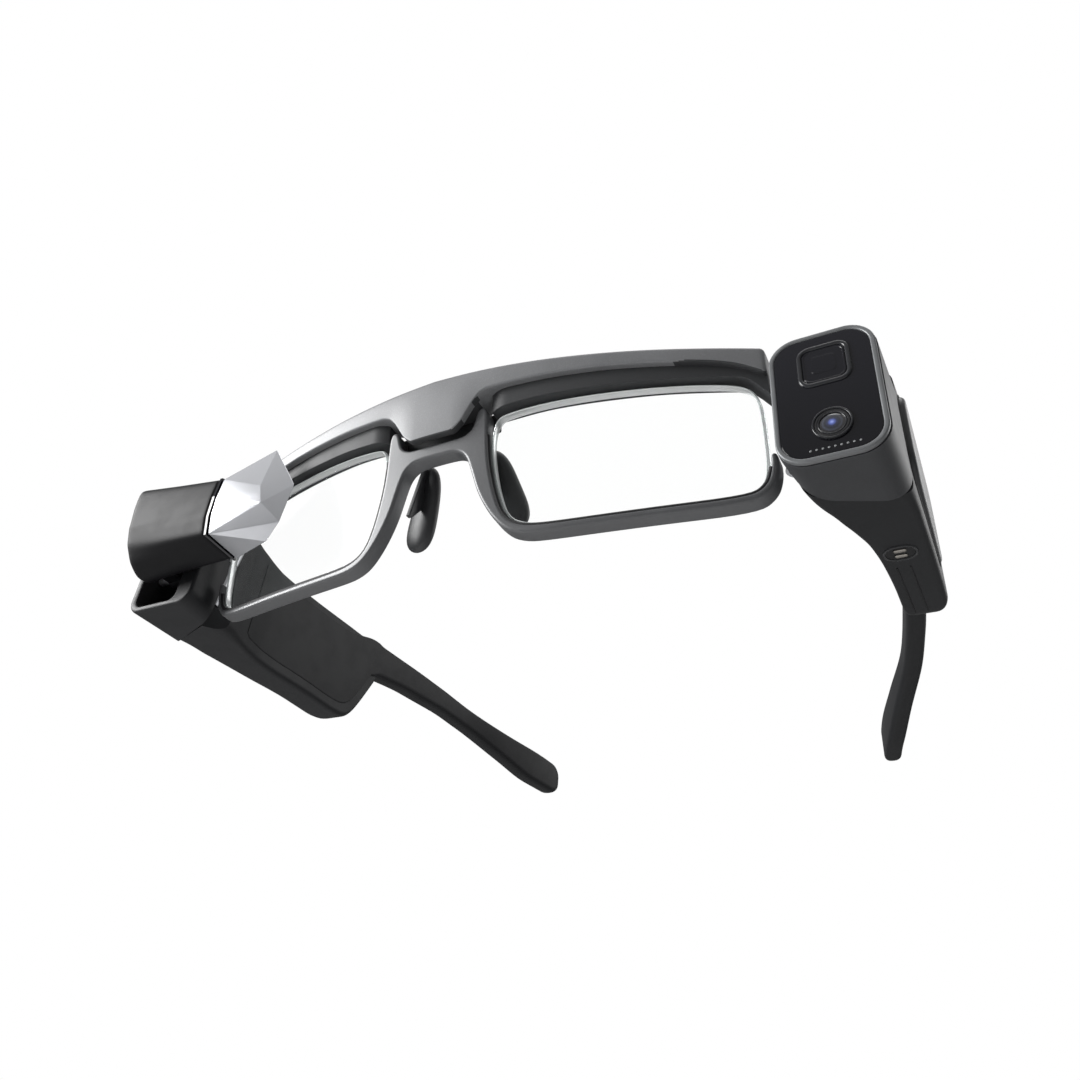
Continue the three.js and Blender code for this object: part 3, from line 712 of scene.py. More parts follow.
def crystal(name, colour):
    """Silvered prism glass, with painted light: brighter on its upper facets."""
    f = Finish(name)
    # painted light: height is a painted gradient that makes the prism brighter towards the top
    height = f.band(f.axis("Z"), 0.009, 0.030)
    veil = f.noise(7.0, 2.0)
    base = f.mix(height, rgba(colour, 0.85), rgba(colour, 1.15))
    base = f.mix(veil * 0.2, base, rgba(colour, 1.4))
    return f.surface({
        "Base Color": base, "Metallic": 0.6, "Roughness": 0.16 + veil * 0.08, "Coat Weight": 0.5,
        "Coat Roughness": 0.02, "Specular IOR Level": 0.8})


def coated_glass_with_painted_glint(name):
    """Camera glass with a dark blue and violet coating and a painted glint: bright blue at its middle, fading
    outwards, with a faint paler ring further out.
    """
    f = Finish(name)
    centre = place(LENS_AT[0], 0, LENS_AT[1])
    away = f.node("VectorMath", {"operation": "SUBTRACT"}, {0: f.place, 1: tuple(centre)})
    flat = f.node("VectorMath", {"operation": "MULTIPLY"}, {0: away, 1: (1, 0, 1)})
    radius = f.node("VectorMath", {"operation": "LENGTH"}, {0: flat}, output="Value")
    # painted highlight: the bright blue middle of this ramp stands in for a glint on the glass; the darker
    # stops are the coating
    coating_and_painted_glint = f.node("ValToRGB", {"stops": [
        (0.0, (0.30, 0.38, 0.78, 1)), (0.17, (0.09, 0.13, 0.42, 1)), (0.34, (0.012, 0.018, 0.06, 1)),
        (0.56, (0.004, 0.005, 0.010, 1)), (0.72, (0.03, 0.036, 0.055, 1)), (0.82, (0.006, 0.006, 0.009, 1)),
        (1.0, (0.003, 0.003, 0.004, 1))]}, {0: radius / 0.0021})
    return f.surface({
        "Base Color": coating_and_painted_glint, "Roughness": 0.03 + f.noise(2.0) * 0.03, "Coat Weight": 1.0,
        "Coat Roughness": 0.0, "Specular IOR Level": 1.0})


def circuit(name):
    """Green board with copper pads and darker tracks."""
    f = Finish(name)
    pads = f.node("TexVoronoi", {}, {"Vector": f.place, "Scale": 700.0})
    tracks = f.node("TexBrick", {}, {
        "Vector": f.place, "Scale": 300.0, "Color1": (0.01, 0.09, 0.045, 1), "Color2": (0.012, 0.12, 0.06, 1),
        "Mortar": (0.02, 0.2, 0.1, 1)})
    copper = pads < 0.16
    return f.surface({
        "Base Color": f.mix(copper, tracks, (0.6, 0.38, 0.14, 1)), "Metallic": copper * 0.9,
        "Roughness": 0.35 + f.noise(1.0) * 0.2})


# ---------------------------------------------------------------- operators
def finishes():
    """The finishes by name, made once."""
    scene = bpy.context.scene
    if "brow_satin" not in FINISHES:
        front, camera = scene.glasses_front, scene.glasses_camera
        satin_paint("brow_satin", front.brow_colour, 0.50, 0.15)
        satin_paint("rim_satin", front.rim_colour, 0.40, 0.2)
        # charcoal of the recessed band, also the painted shade on the brow bar's undersides
        moulded("recess_charcoal", (0.034, 0.035, 0.037), 0.55)
        clear_lens("lens_clear")
        # lens edge: its own green tint, with a painted highlight
        lens_edge("lens_edge")
        rubber("pad_rubber")
        brushed("steel", (0.55, 0.56, 0.58))
        brushed("contact_gold", (0.36, 0.34, 0.31), rough=0.24)
        brushed("cell_foil", (0.55, 0.56, 0.58), (1, 8, 1), 0.35)
        moulded("arm_matte", scene.glasses_arms.colour, 0.50, shine=0.26)
        moulded("tip_matte", (0.0082, 0.0086, 0.0098), 0.52, shine=0.24)
        moulded("body_charcoal", (0.036, 0.037, 0.040), 0.48)
        satin_paint("bezel_metal", (0.15, 0.155, 0.16), 0.42, 0.4, 0.1, 0.0)
        satin_paint("touch_satin", (0.030, 0.031, 0.033), 0.40, 0.2, 0.2)
        moulded("ring_dark", (0.016, 0.0165, 0.019), 0.25, 0.3, 0.05, 0.25)
        # glossy black, painted lighter towards the top
        gloss("gloss_black", camera.panel_colour)
        # dark lens coating with a painted glint at its middle
        coated_glass_with_painted_glint("lens_coating")
        moulded("display_black", scene.glasses_display.colour, 0.50, 0.3, 0.04, 0.0, 0.12)
        moulded("inner_black", (0.008, 0.008, 0.009), 0.6)
        # prism and inner optic, both painted brighter towards the top
        crystal("prism_crystal", scene.glasses_display.crystal)
        crystal("inner_optic", (0.75, 0.78, 0.80))
        circuit("board_green")
        satin_paint("mark_pale", (0.19, 0.195, 0.20), 0.5, 0.0, 0.05, 0.0)
    return FINISHES


def dress(node, finish):
    """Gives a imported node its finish."""
    data = frame["nodes"][node].data
    data.materials.clear()
    data.materials.append(finishes()[finish])


class BuildBrow(bpy.types.Operator):
    """Build the brow bar with its centre plate and recessed lower band"""
    bl_idname = "glasses.brow"
    bl_label = "Brow Bar"

    def execute(self, context):
        bm = bmesh.new()
        self.bar(bm, context.scene.glasses_front.brow_round)
        for side in (1, -1):
            self.recess(bm, side)
        backing = round_box(-12.0, 12.0, 9.2, 13.2, 0.5)
        plate(bm, tidy_outline(backing), on_front, 4.42, 5.18, 0.2, mark=1)
        add_piece("brow_bar_visible", bm, "front", ["brow_satin", "recess_charcoal"], ["brow_bar"])
        return {"FINISHED"}

    def bar(self, bm, edge):
        """The satin bar, with painted shade: its downward faces get the dark recess finish."""
        stations = [i * 0.35 for i in range(43)] + [15.05 + i * 1.0 for i in range(47)]
        stations += [61.6, 61.95, 62.2, BROW_HALF]
        rings = []
        for x in [-x for x in reversed(stations[1:])] + stations:
            a = abs(x)
            high, low = between(BROW_TOP, a), between(BROW_STEP, a)
            shelf = max(low + 0.02, 12.7 if a < 11.6 else 12.7 - (a - 11.6) * 6)
            trim = 0.6 * quarter(max(0.0, a - (BROW_HALF - 0.7)) / 0.7)
            corners = [(-1.0 + trim, low + trim), (-1.0 + trim, high - trim), (5.2 - trim, high - trim),
                       (5.2 - trim, shelf + trim), (0.4, shelf + trim), (0.4, low + trim)]
            outline = rounded(corners, [0.45, edge, 0.8, 0.25, 0.1, 0.3])
            rings.append([on_front(x, p.y, p.x) for p in outline])
        loft(bm, rings)
        bm.normal_update()
        # painted shade: faces that point mostly up or down, low on the bar, take the dark recess finish
        # instead of the satin
        for face in bm.faces:
            if abs(face.normal.z) > 0.6 and face.calc_center_median().z < place(0, 0, 13.5).z:
                face.material_index = 1

    def recess(self, bm, side):
        """The dark band under one half of the bar, curved back beside the centre plate."""
        rings = []
        for k in range(70):
            x = RECESS_START + (62.2 - RECESS_START) * (k / 69) ** 1.4
            low, high = between(BROW_LOW, x), between(BROW_STEP, x) + 0.5
            near = 0.35 + 1.1 * (1 - min(1.0, (x - RECESS_START) / 3.6)) ** 2
            outline = rounded([(near, low), (near, high), (4.9, high), (4.9, low)], [0.2, 0.1, 0.1, 0.4])
            rings.append([on_front(side * x, p.y, p.x) for p in outline])
        loft(bm, rings, mark=1)


class BuildRims(bpy.types.Operator):
    """Build the two open rims, joined by the bridge with its forked ends"""
    bl_idname = "glasses.rims"
    bl_label = "Rims and Bridge"

    def execute(self, context):
        half = RIM_INNER + RIM_OUTER
        top = [(9.1, 12.2), (8.3, 8.2), (6.6, 7.0), (4.8, 6.7)]
        outline = half + mirrored(half) + [(-x, z) for x, z in top] + top[::-1]
        edge = context.scene.glasses_front.rim_round
        bm = bmesh.new()
        plate(bm, tidy_outline(rounded(outline, 1e6, 6)), on_front, 0.7, 4.1, edge)
        add_piece("rims_visible", bm, "front", ["rim_satin"], ["rim_and_bridge"])
        return {"FINISHED"}


class BuildLenses(bpy.types.Operator):
    """Build the clear lenses, each with its dark seat and a painted highlight: the bright line of its bevelled
    edge
    """
    bl_idname = "glasses.lenses"
    bl_label = "Lenses"

    def execute(self, context):
        lines = thread_tree()
        for side, name in ((1, "left"), (-1, "right")):
            outline = tidy_outline(rounded([(side * x, z) for x, z in LENS_LINE], 1e6, 5))
            bm = bmesh.new()
            plate(bm, outline, on_front, 1.8, 3.6, 0.35, steps=3, radial=9, centre=(side * 36, -1.5))
            # painted highlight: the lens's side faces get the pale edge finish
            for face in bm.faces:
                middle = (face.calc_center_median() - ORIGIN) / MM
                if 1.9 < middle.y - front_y(middle.x, middle.z) < 3.5:
                    face.material_index = 1
            add_piece(f"lens_{name}_visible", bm, "front", ["lens_clear", "lens_edge"], [f"lens_{name}"])
            seat = spread([(side * x, z) for x, z in RIM_INNER[1:-1]])
            path = [place(x - side * 0.1, front_y(x, z) + 1.25, z) for x, z in seat]
            add_line(f"lens_seat_{name}", lines, path, 0.48, "front", "inner_black")
            # painted highlight: a thin pale line along the front of the lens edge
            path = [on_front(p.x, p.y, 1.84) for p in inset(outline, 0.35)]
            add_line(f"lens_line_{name}", lines, path, 0.16, "front", "lens_edge", closed=True)
        return {"FINISHED"}


class BuildNosePads(bpy.types.Operator):
    """Build the two soft nose pads, wider at their feet, and the webs that hold them"""
    bl_idname = "glasses.nose_pads"
    bl_label = "Nose Pads"

    def execute(self, context):
        for side, name in ((1, "left"), (-1, "right")):
            bm = bmesh.new()
            loft(bm, self.pad(side))
            add_piece(f"nose_pad_{name}_visible", bm, "front", ["pad_rubber"], [f"nose_pad_{name}"],
                      crease=80)
            web = []
            for k in range(13):
                t = k / 12
                x, depth = 7.9 + 1.7 * t, 5.0 + 3.0 * math.sin(math.pi * (0.2 + 0.8 * t))
                box = rounded([(x - 0.5, 4.0), (x + 0.5, 4.0), (x + 0.4, depth), (x - 0.4, depth)], 0.2, 3)
                web.append([place(side * p.x, p.y, 9.0 - 11.5 * t) for p in box])
            bm = bmesh.new()
            loft(bm, web)
            add_piece(f"nose_pad_web_{name}", bm, "front", ["pad_rubber"], [f"nose_pad_post_{name}"])
        return {"FINISHED"}

    def pad(self, side, count=26, round_count=28):
        """The rings of one pad, from its top to its foot."""
        mirror = Matrix.Diagonal((side, 1, 1))
        top, foot = mirror @ Vector(PAD_TOP), mirror @ Vector(PAD_FOOT)
        along = (foot - top).normalized()
        face = Vector((-side * 0.25, 1, 0.2))
        face = (face - along * face.dot(along)).normalized()
        across = along.cross(face)
        rings = []
        for k in range(count + 1):
            u = 0.5 - 0.5 * math.cos(math.pi * k / count)
            full = max(math.sqrt(max(0.0, 1 - (2 * u - 1) ** 4)), 0.01)
            wide, thick = (3.0 + 0.9 * u ** 1.3) * full, (1.5 + 0.45 * u) * full
            middle = top.lerp(foot, u) + face * 0.5 * math.sin(math.pi * u)
            ring = []
            for i in range(round_count):
                a = 2 * math.pi * i / round_count
                c, s = math.cos(a), math.sin(a)
                ring.append(place(*(middle + across * wide * math.copysign(abs(c) ** 0.85, c)
                                    + face * thick * math.copysign(abs(s) ** 0.85, s))))
            rings.append(ring)
        return rings


class BuildCamera(bpy.types.Operator):
    """Build the camera module: body, bezel, glossy panel, window and lens"""
    bl_idname = "glasses.camera"
    bl_label = "Camera Module"

    def execute(self, context):
        settings, front = context.scene.glasses_camera, MODULE["front"]
        self.housing(settings.corner)
        self.face(settings.corner, settings.bezel)
        self.lens()
        marks = grown_mesh("panel_marks", row_tree(), {
            "Count": settings.dots, "First": place(68.3, front + 0.10, -11.0),
            "Step": Vector((0.95, 0, 0)) * MM, "Size": (0.20, 0.05, 0.20),
            "Material": finishes()["mark_pale"]})
        add_mesh("panel_marks", marks, "front", ["mark_pale"])
        button = flat_plate(place, (round_box(68.6, 75.4, 6.5, 9.5, 1.2), 13.3, 15.2, 0.3, 0))
        add_piece("capture_button_visible", button, "capture_button", ["bezel_metal"], ["capture_button"])
        return {"FINISHED"}

    def housing(self, corner):
        """The body, from behind the bezel to the seam."""
        inner = [(0, MODULE["x_in"]), (4, MODULE["x_in"]), (8, 63.4), (13, 64.4), (18, 65.6)]
        outer = [(0, MODULE["x_out"]), (18, MODULE["x_out"] + 0.9)]
        rings = []
        for y in [MODULE["front"] + 1.05 + 0.7 * i for i in range(26)]:
            ring = round_box(between(inner, y), between(outer, y), MODULE["low"], MODULE["high"], corner, 9)
            rings.append([place(p.x, y, p.y) for p in ring])
        bm = bmesh.new()
        loft(bm, rings)
        co, back = seam_plane(1, gap=-0.15)
        cut(bm, co, -back)
        add_piece("camera_housing_visible", bm, "front", ["body_charcoal"], ["camera_housing"])

    def ring(self, name, node, sides, corner, width, near, far, edge, coat):
        """A rounded ring inside sides (x0, x1, z0, z1), between two depths behind the module's front."""
        x0, x1, z0, z1 = sides
        middle = place((x0 + x1) / 2, MODULE["front"] + (near + far) / 2, (z0 + z1) / 2)
        mesh = grown_mesh(name, self.rings, {
            "Width": (x1 - x0 - width) * MM, "Height": (z1 - z0 - width) * MM,
            "Corner": (corner - width / 2) * MM, "Band": width * MM, "Depth": (far - near) * MM,
            "Edge": edge * MM, "Centre": middle, "Material": finishes()[coat]})
        add_mesh(name, mesh, "front", [coat], [node] if node else [])

    def face(self, corner, band):
        """Bezel, glossy panel and the square window."""
        self.rings = ring_tree()
        x_in, x_out, low, high, front = (MODULE[k] for k in ("x_in", "x_out", "low", "high", "front"))
        self.ring("camera_bezel_visible", "camera_bezel", (x_in, x_out, low, high), corner, band,
                  0, 1.0, 0.28, "bezel_metal")
        panel = round_box(x_in + band, x_out - band, low + band, high - band, corner - band, 9)
        add_piece("camera_panel", flat_plate(upright, (panel, front + 0.12, front + 1.2, 0.15, 0)), "front",
                  ["gloss_black"], ["camera_cover_glass"])
        self.ring("zoom_ring_visible", "zoom_window_ring", WINDOW, 2.2, 0.8, -0.22, 0.6, 0.3, "ring_dark")
        self.ring("zoom_step", None, (68.5, 75.4, 3.2, 10.5), 1.5, 0.35, -0.02, 0.5, 0.12, "gloss_black")
        glass = flat_plate(
            upright, (round_box(68.4, 75.5, 3.1, 10.6, 1.5), front + 0.05, front + 0.6, 0.1, 0),
            (round_box(69.9, 73.9, 5.0, 8.9, 0.8), front, front + 0.3, 0.05, 0))
        add_piece("zoom_glass_visible", glass, "front", ["gloss_black"], ["zoom_window_glass"])

    def lens(self):
        """The lens: stepped rings round a coated dome."""
        (lx, lz), front = LENS_AT, MODULE["front"]
        for name, node, radius, width, near, coat in (
                ("lens_ring_outer", "camera_lens_ring", 3.2, 0.36, -0.30, "ring_dark"),
                ("lens_ring_seat", None, 2.8, 0.5, -0.18, "inner_black"),
                ("lens_ring_step", None, 2.3, 0.26, -0.24, "ring_dark")):
            self.ring(name, node, (lx - radius, lx + radius, lz - radius, lz + radius), radius - 0.001, width,
                      near, 0.5, min(width, 0.3) / 2.2, coat)
        size, height = 2.2, 0.34
        hoops = [(size, front + 0.5)]
        for k in range(24):
            t = 1 - k / 24
            hoops.append((size * t, front - height * (1 - t * t)))
        bm = bmesh.new()
        loft(bm, [[place(lx + r * math.cos(a), y, lz + r * math.sin(a))
                   for a in [2 * math.pi * i / 48 for i in range(48)]] for r, y in hoops])
        add_piece("camera_lens_dome", bm, "front", ["lens_coating"], ["camera_lens_glass"])


class BuildCup(bpy.types.Operator):
    """Build the open cup on the right end that carries the display"""
    bl_idname = "glasses.cup"
    bl_label = "Display Cup"

    def execute(self, context):
        co, back = seam_plane(-1, gap=-0.15)
        low, high = MODULE["low"] + 0.4, MODULE["high"]

        def shell(x_in, grow, y):
            ring = round_box(-81.4 + grow, x_in - grow, low + grow, high - grow, 3.4 - grow, 7)
            return [place(p.x, y, p.y) for p in ring]

        def hollow(grow, y):
            ring = round_box(-79.6 - grow, -67.6 + grow, -11.3 - grow, 13.1 + grow, 2 + grow, 7)
            return [place(p.x, y, p.y) for p in ring]

        seam = [base + Vector((0, (co - base).dot(back) / back.y, 0)) for base in shell(-64.2, 0.0, 0)]
        rings = [seam] + [shell(-x, grow, y) for y, x, grow in (
            (8, 63.4, 0.0), (5, 63.1, 0.0), (2.7, 62.9, 0.0), (2.3, 62.9, 0.1), (2.05, 62.9, 0.35),
            (2.0, 62.9, 0.7))]
        rings += [hollow(grow, y) for grow, y in (
            (0.35, 2.0), (0.1, 2.12), (0.0, 2.4), (0.0, 6.0), (0.0, 10.9), (-0.3, 11.2))]
        bm = bmesh.new()
        loft(bm, rings)
        for face in bm.faces:
            middle = (face.calc_center_median() - ORIGIN) / MM
            if -79.7 < middle.x < -67.5 and -11.4 < middle.z < 13.2 and 2.1 < middle.y < 11.6:
                face.material_index = 1
        add_piece("display_cup_visible", bm, "front", ["arm_matte", "inner_black"], ["display_cup"])
        return {"FINISHED"}


class BuildArms(bpy.types.Operator):
    """Build both arms: shell, inner blade that runs on as the tip, touch plate and contacts"""
    bl_idname = "glasses.arms"
    bl_label = "Arms"

    def execute(self, context):
        for side, name in ((1, "left"), (-1, "right")):
            self.shell(context.scene.glasses_arms.edge, side, name)
            self.blade(side, name)
        self.touch_plate_and_contacts()
        return {"FINISHED"}

    def pod_low(self, y, end, lift=0.0):
        """Height of the pod's lower edge, which turns up at its rear end."""
        notch = end + NOTCH
        line = [p for p in ARM_LOW if p[0] < end - 8] + [
            (end - 8, between(ARM_LOW, end - 8)), (end - 3, -8.6), (end, -7.6), (notch - 0.6, 5.6),
            (notch, 7.0)]
        return between([(u - lift * 0.6, v + lift) for u, v in line], y)

    def shell(self, edge, side, name):
        """The outer shell of an arm's pod, narrower towards its rear end."""
        end = POD_END[name]
        notch = end + NOTCH
        stations = [9.0 + i for i in range(int(end - 13))] + [end - 4 + i * 0.45 for i in range(29)]
        rings = []
        for y in [y for y in stations if y < notch] + [notch - 0.2, notch]:
            near, away = between(ARM_INNER, y) + 0.14, between(ARM_OUTER, y)
            trim = 1.3 * quarter(max(0.0, y - (notch - 1.6)) / 1.6)
            blend = min(1.0, max(0.0, (y - 9) / 16))
            soft = 4.2 * (1 - blend) + edge * blend
            join = ease((y - (end - 6)) / 13)
            near, away = near + 0.5 * join, away - 3.0 * join
            low = self.pod_low(y, end)
            high = between(ARM_TOP, y) * (1 - join) + (between(TIP_TOP, y) - 0.5) * join
            box = rounded([(near, low), (away - trim, low + trim * 0.5), (away - trim, high), (near, high)],
                          [soft, soft, soft * 0.9, soft * 0.7], 6)
            rings.append([place(side * p.x, y, p.y) for p in box])
        bm = bmesh.new()
        loft(bm, rings)
        for turn in (0.0, 88.0):
            co, back = seam_plane(side, turn, 0.25)
            cut(bm, co, back)
        add_piece(f"arm_shell_{name}_visible", bm, f"arm_{name}", ["arm_matte"], [f"arm_shell_{name}"])

    def blade(self, side, name, count=150, thin=1.2, closing=5.2):
        """The thin inner cover of an arm, which thickens at the notch and runs on as the tip."""
        end = POD_END[name]
        notch = end + NOTCH
        rings = []
        for k in range(count + 1):
            y = BLADE_START + (TIP_END - BLADE_START) * (1 - (1 - k / count) ** 1.35)
            lead = 0.7 * quarter(1 - min(1.0, (y - BLADE_START) / 1.2))
            join = ease((y - (end - 8)) / 14)
            high = (between(ARM_TOP, y) - 2.0) * (1 - join) + between(TIP_TOP, y) * join
            near = between(ARM_INNER, y) * (1 - join) + between(TIP_INNER, y) * join
            low = between(TIP_LOW, y)
            if y < notch:
                low = min(self.pod_low(y, end, 3.0), low if y >= end else 1e6)
            thick = thin + (TIP_THICK - thin) * min(1.0, max(0.0, (y - (notch - 1.2)) / 1.0))
            tail = max(0.0, y - (TIP_END - closing)) / closing
            shut = math.sqrt(max(0.0004, 1 - tail * tail))
            middle, half = (high + low) / 2, max(0.2, (high - low) / 2 - lead) * shut
            wide = thick * (0.35 + 0.65 * shut)
            near += (thick - wide) / 2
            soft = min(0.45 + (thick - thin) * 0.42, wide * 0.45)
            box = rounded([(near, middle - half), (near + wide, middle - half), (near + wide, middle + half),
                           (near, middle + half)], [soft, soft, soft, soft * 0.5], 5)
            rings.append([place(side * p.x, y, p.y) for p in box])
        bm = bmesh.new()
        loft(bm, rings)
        add_piece(f"arm_blade_{name}", bm, f"arm_{name}", ["tip_matte"],
                  [f"arm_cover_{name}", f"arm_tip_{name}"])

    def touch_plate_and_contacts(self):
        """The left arm's touch plate, charging contacts with their lip, and the grooves under its pod."""
        y0, y1, z0, z1 = TOUCH
        outer = flat_plate(lambda y, z, d: place(d, y, z),
                           (round_box(y0, y1, z0, z1, 5, 9), 80.6, 82.5, 1.1, 0))
        add_piece("touch_plate_visible", outer, "arm_left", ["touch_satin"], ["touch_plate"])

        middle, seat_y = CONTACTS_AT
        end = POD_END["left"]
        floor = self.pod_low(seat_y, end)
        lean = (self.pod_low(seat_y + 2, end) - self.pod_low(seat_y - 2, end)) / 4

        def under(x, y, d=0.0):
            return place(x, y, floor + (y - seat_y) * lean - d)

        def around(half_x, half_y, radius, steps, step=0.0):
            return round_box(middle - half_x, middle + half_x, seat_y + step - half_y, seat_y + step + half_y,
                             radius, steps)

        pair = flat_plate(under, (around(2.7, 2.2, 2.1, 8), -0.3, 0.05, 0.04, 0),
                          *[(around(1.15, 0.48, 0.46, 5, step), 0.0, 0.28, 0.22, 1) for step in (-0.9, 0.9)])
        add_piece("contact_pair", pair, "arm_left", ["inner_black", "contact_gold"],
                  ["contact_seat", "contact_front", "contact_back"])
        lines = thread_tree()
        lip = [under(p.x, p.y) for p in around(2.8, 2.3, 2.2, 8)]
        add_line("contact_lip", lines, lip, 0.28, "arm_left", "ring_dark", closed=True)
        grooves = []
        for x in (74.9, 77.3):
            path = [place(x + i * 0.03, 42.5 + i, self.pod_low(42.5 + i, end) - 0.02) for i in range(20)]
            grooves.append(grown_mesh("groove", lines, {
                "Radius": 0.14 * MM, "Material": finishes()["inner_black"]}, path))
        add_piece("under_grooves", joined(grooves), "arm_left", ["inner_black"])
        gap = [place(between(ARM_OUTER, p.x) + 0.02, p.x, p.y)
               for p in round_box(y0 - 0.3, y1 + 0.3, z0 - 0.3, z1 + 0.3, 5.3, 9)]
        add_line("touch_gap", lines, gap, 0.18, "arm_left", "inner_black", closed=True)


class BuildDisplay(bpy.types.Operator):
    """Build the display unit: housing, black rim and faceted prism"""
    bl_idname = "glasses.display"
    bl_label = "Display"

    def execute(self, context):
        bm = bmesh.new()
        loft(bm, self.housing_rings())
        y, z = PIVOT
        neck = round_box(z - 2.1, z + 2.1, -1.6, y, 0.6)
        plate(bm, neck, lambda v, u, d: place(d, u, v), *NECK_X, 0.3)
        hoop = [Vector((y + 2.6 * math.cos(2 * math.pi * i / 32), z + 2.6 * math.sin(2 * math.pi * i / 32)))
                for i in range(32)]
        plate(bm, hoop, lambda u, v, d: place(d, u, v), *NECK_X, 0.25)
        add_piece("display_housing_visible", bm, "display", ["display_black"], ["display_housing"])

        bm = bmesh.new()
        bm.from_mesh(frame["nodes"]["display_prism"].data)
        bmesh.ops.remove_doubles(bm, verts=bm.verts, dist=1e-6)
        bmesh.ops.dissolve_limit(bm, angle_limit=math.radians(2), verts=bm.verts, edges=bm.edges)
        bmesh.ops.bevel(bm, geom=bm.edges[:], offset=0.00012, segments=2, profile=0.5, affect="EDGES")
        add_piece("display_prism_visible", bm, "display", ["prism_crystal"], ["display_prism"], crease=12)
        return {"FINISHED"}

    def reach(self, profile, centre, count):
        """Distances from the centre to the profile, all the way round, slightly smoothed."""
        distances = []
        for i in range(count):
            a = 2 * math.pi * i / count
            way = Vector((math.cos(a), math.sin(a)))
            found = []
            for p, q in zip(profile, profile[1:] + profile[:1]):
                p, d = Vector(p) - centre, Vector(q) - Vector(p)
                cross = way.x * d.y - way.y * d.x
                if abs(cross) < 1e-9:
                    continue
                t, u = (p.x * d.y - p.y * d.x) / cross, (p.x * way.y - p.y * way.x) / cross
                if t > 0 and -1e-6 <= u <= 1 + 1e-6:
                    found.append(t)
            distances.append(min(found))
        for _ in range(2):
            distances = [(distances[i - 1] + 2 * distances[i] + distances[(i + 1) % count]) / 4
                         for i in range(count)]
        return distances

    def housing_rings(self, count=96):
        """Sections of the housing, from the prism's end to the outer end, closed by a soft edge."""
        mid_in, mid_out = Vector((-4.2, 2.4)), Vector((-4.8, 2.6))
        near, away = self.reach(HOUSING_IN, mid_in, count), self.reach(HOUSING_OUT, mid_out, count)
        steps = [0, 0.004, 0.012, 0.025] + [0.05 * i for i in range(1, 19)] + [0.94, 0.965, 0.985, 0.995, 1.0]
        rings = []
        for t in steps:
            x = HOUSING_X[0] + (HOUSING_X[1] - HOUSING_X[0]) * t
            middle = mid_in.lerp(mid_out, t)
            trim = 0.3 * (1 - min(1.0, t / 0.02)) ** 2 + 1.1 * quarter(max(0.0, (t - 0.95) / 0.05))
            ring = []
            for i in range(count):
                a = 2 * math.pi * i / count
                r = near[i] * (1 - t) + away[i] * t - trim
                ring.append(place(x, middle.x + r * math.cos(a), middle.y + r * math.sin(a)))
            rings.append(ring)
        return rings


class DressInnerParts(bpy.types.Operator):
    """Give the hinges, boards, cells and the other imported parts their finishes"""
    bl_idname = "glasses.inner_parts"
    bl_label = "Hinges and Inner Parts"

    def execute(self, context):
        slots = {part["node"]: part["material_slot"] for part in frame["record"]["subparts"]}
        for node, piece in frame["nodes"].items():
            if not piece.hide_render:
                dress(node, slots[node] if slots[node] in finishes() else "inner_black")
        return {"FINISHED"}


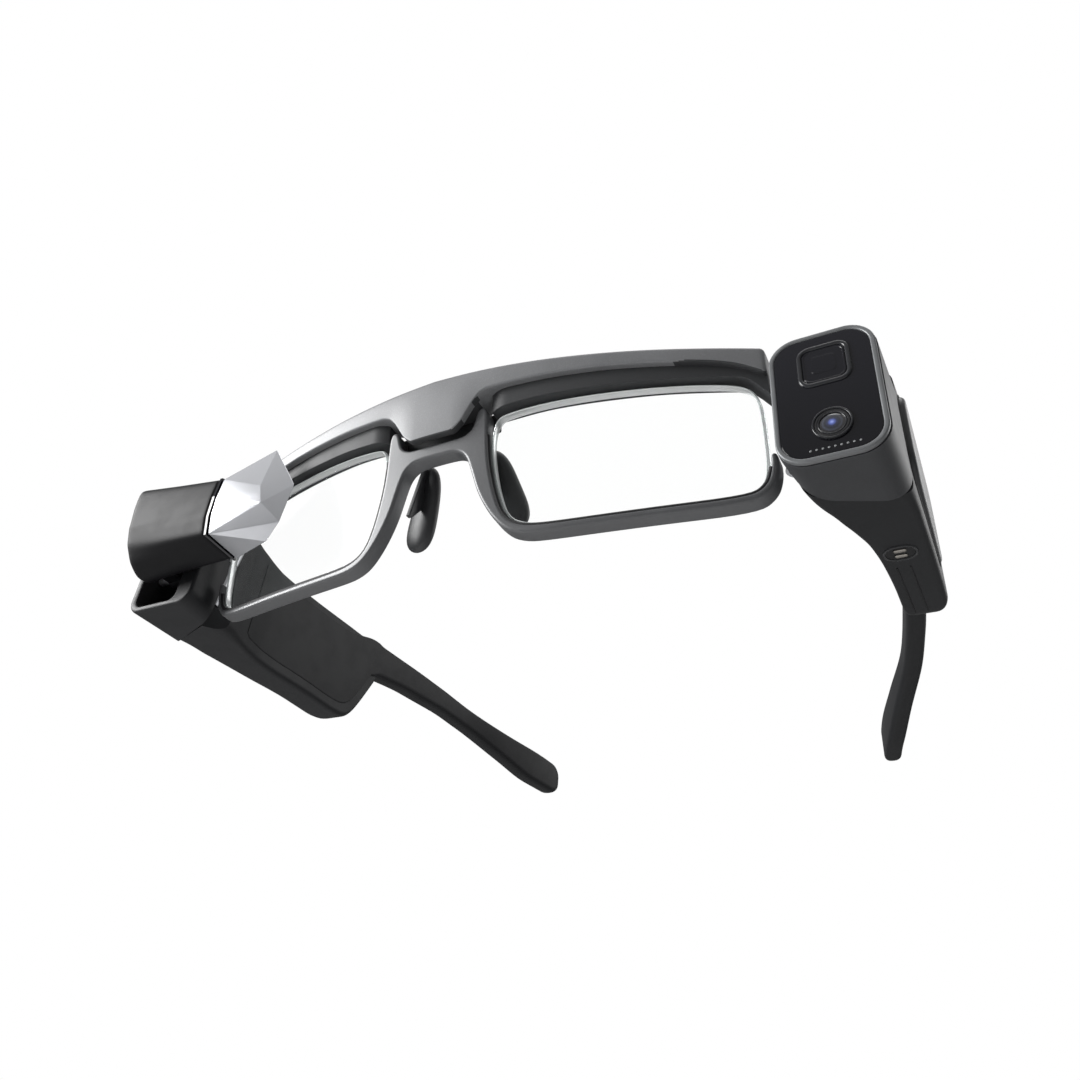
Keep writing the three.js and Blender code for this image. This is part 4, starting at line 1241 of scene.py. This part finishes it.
class BuildStage(bpy.types.Operator):
    """Set up the floor, the soft lights and the camera"""
    bl_idname = "glasses.stage"
    bl_label = "Stage"

    def execute(self, context):
        self.floor(context.scene)
        self.studio(context.scene)
        self.camera(context.scene)
        return {"FINISHED"}

    def floor(self, scene):
        """A plain pale disc well below the glasses."""
        f = Finish("floor_pale")
        shade = f.mix(f.noise(60.0), (0.70, 0.70, 0.70, 1), (0.74, 0.74, 0.74, 1))
        f.surface({"Base Color": shade, "Roughness": 0.8})
        bm = bmesh.new()
        bmesh.ops.create_circle(bm, cap_ends=True, segments=96, radius=FLOOR_RADIUS)
        mesh = bpy.data.meshes.new("floor")
        bm.to_mesh(mesh)
        bm.free()
        mesh.transform(Matrix.Translation((0, 0, FLOOR_AT)))
        mesh.materials.append(f.material)
        floor = bpy.data.objects.new("floor", mesh)
        scene.collection.objects.link(floor)

    def studio(self, scene):
        """White for the camera's own rays, soft and brighter from above for the rest, and three lamps."""
        world = bpy.data.worlds.new("studio")
        scene.world = world
        world.use_nodes = True
        tree = world.node_tree
        tree.nodes.clear()
        rays = tree_node(tree, "ShaderNodeLightPath")
        way = tree_node(tree, "ShaderNodeTexCoord")
        height = tree_node(tree, "ShaderNodeSeparateXYZ", sockets={0: way.outputs["Generated"]})
        level = tree_node(tree, "ShaderNodeMapRange", sockets={
            "Value": height.outputs["Z"], "From Min": -0.6, "From Max": 0.9, "To Min": 0.12, "To Max": 0.40})
        soft, plain = (
            tree_node(tree, "ShaderNodeBackground", sockets={"Strength": strength, "Color": (1, 1, 1, 1)})
            for strength in (level.outputs[0], 1.0))
        both = tree_node(tree, "ShaderNodeMixShader", sockets={
            0: rays.outputs["Is Camera Ray"], 1: soft.outputs[0], 2: plain.outputs[0]})
        tree_node(tree, "ShaderNodeOutputWorld", sockets={"Surface": both.outputs[0]})
        scene.view_settings.view_transform = "Standard"
        for name, at, size, power in LAMPS:
            lamp = bpy.data.lights.new(name, "AREA")
            lamp.size, lamp.energy = size, power
            spot = bpy.data.objects.new(name, lamp)
            spot.location = at
            spot.rotation_euler = (Vector((0, -0.03, 0.01)) - Vector(at)).to_track_quat("-Z", "Y").to_euler()
            scene.collection.objects.link(spot)

    def camera(self, scene):
        """The view from below, in front and to the left."""
        lens = bpy.data.cameras.new("camera")
        lens.sensor_width, lens.lens = 36.0, CAMERA_LENS
        view = bpy.data.objects.new("camera", lens)
        turn = Matrix((Vector(CAMERA_RIGHT), Vector(CAMERA_UP), -Vector(CAMERA_AHEAD))).transposed()
        view.matrix_world = Matrix.Translation(place(*CAMERA_AT)) @ turn.to_4x4()
        lens.clip_start = 0.01
        scene.collection.objects.link(view)
        scene.camera = view


OPERATORS = (BuildStage, BuildBrow, BuildRims, BuildLenses, BuildNosePads, BuildCamera, BuildCup, BuildArms,
             BuildDisplay, DressInnerParts)
GROUPS = (("glasses_front", FrontSettings), ("glasses_camera", CameraSettings), ("glasses_arms", ArmSettings),
          ("glasses_display", DisplaySettings))


class GlassesPanel(bpy.types.Panel):
    """Buttons and sizes for the smart glasses"""
    bl_idname = "VIEW3D_PT_smart_glasses"
    bl_label = "Smart Glasses"
    bl_space_type = "VIEW_3D"
    bl_region_type = "UI"
    bl_category = "Smart Glasses"

    def draw(self, context):
        for attribute, group in GROUPS:
            column = self.layout.column(align=True)
            for key in group.__annotations__:
                column.prop(getattr(context.scene, attribute), key)
        for operator in OPERATORS:
            self.layout.operator(operator.bl_idname)


def register():
    for _, group in GROUPS:
        bpy.utils.register_class(group)
    for attribute, group in GROUPS:
        setattr(bpy.types.Scene, attribute, PointerProperty(type=group))
    for operator in OPERATORS:
        bpy.utils.register_class(operator)
    bpy.utils.register_class(GlassesPanel)


def unregister():
    bpy.utils.unregister_class(GlassesPanel)
    for operator in reversed(OPERATORS):
        bpy.utils.unregister_class(operator)
    for attribute, group in reversed(GROUPS):
        delattr(bpy.types.Scene, attribute)
        bpy.utils.unregister_class(group)


def main():
    register()
    for operator in OPERATORS:
        group, call = operator.bl_idname.split(".")
        getattr(getattr(bpy.ops, group), call)()


if __name__ == "__main__":
    main()
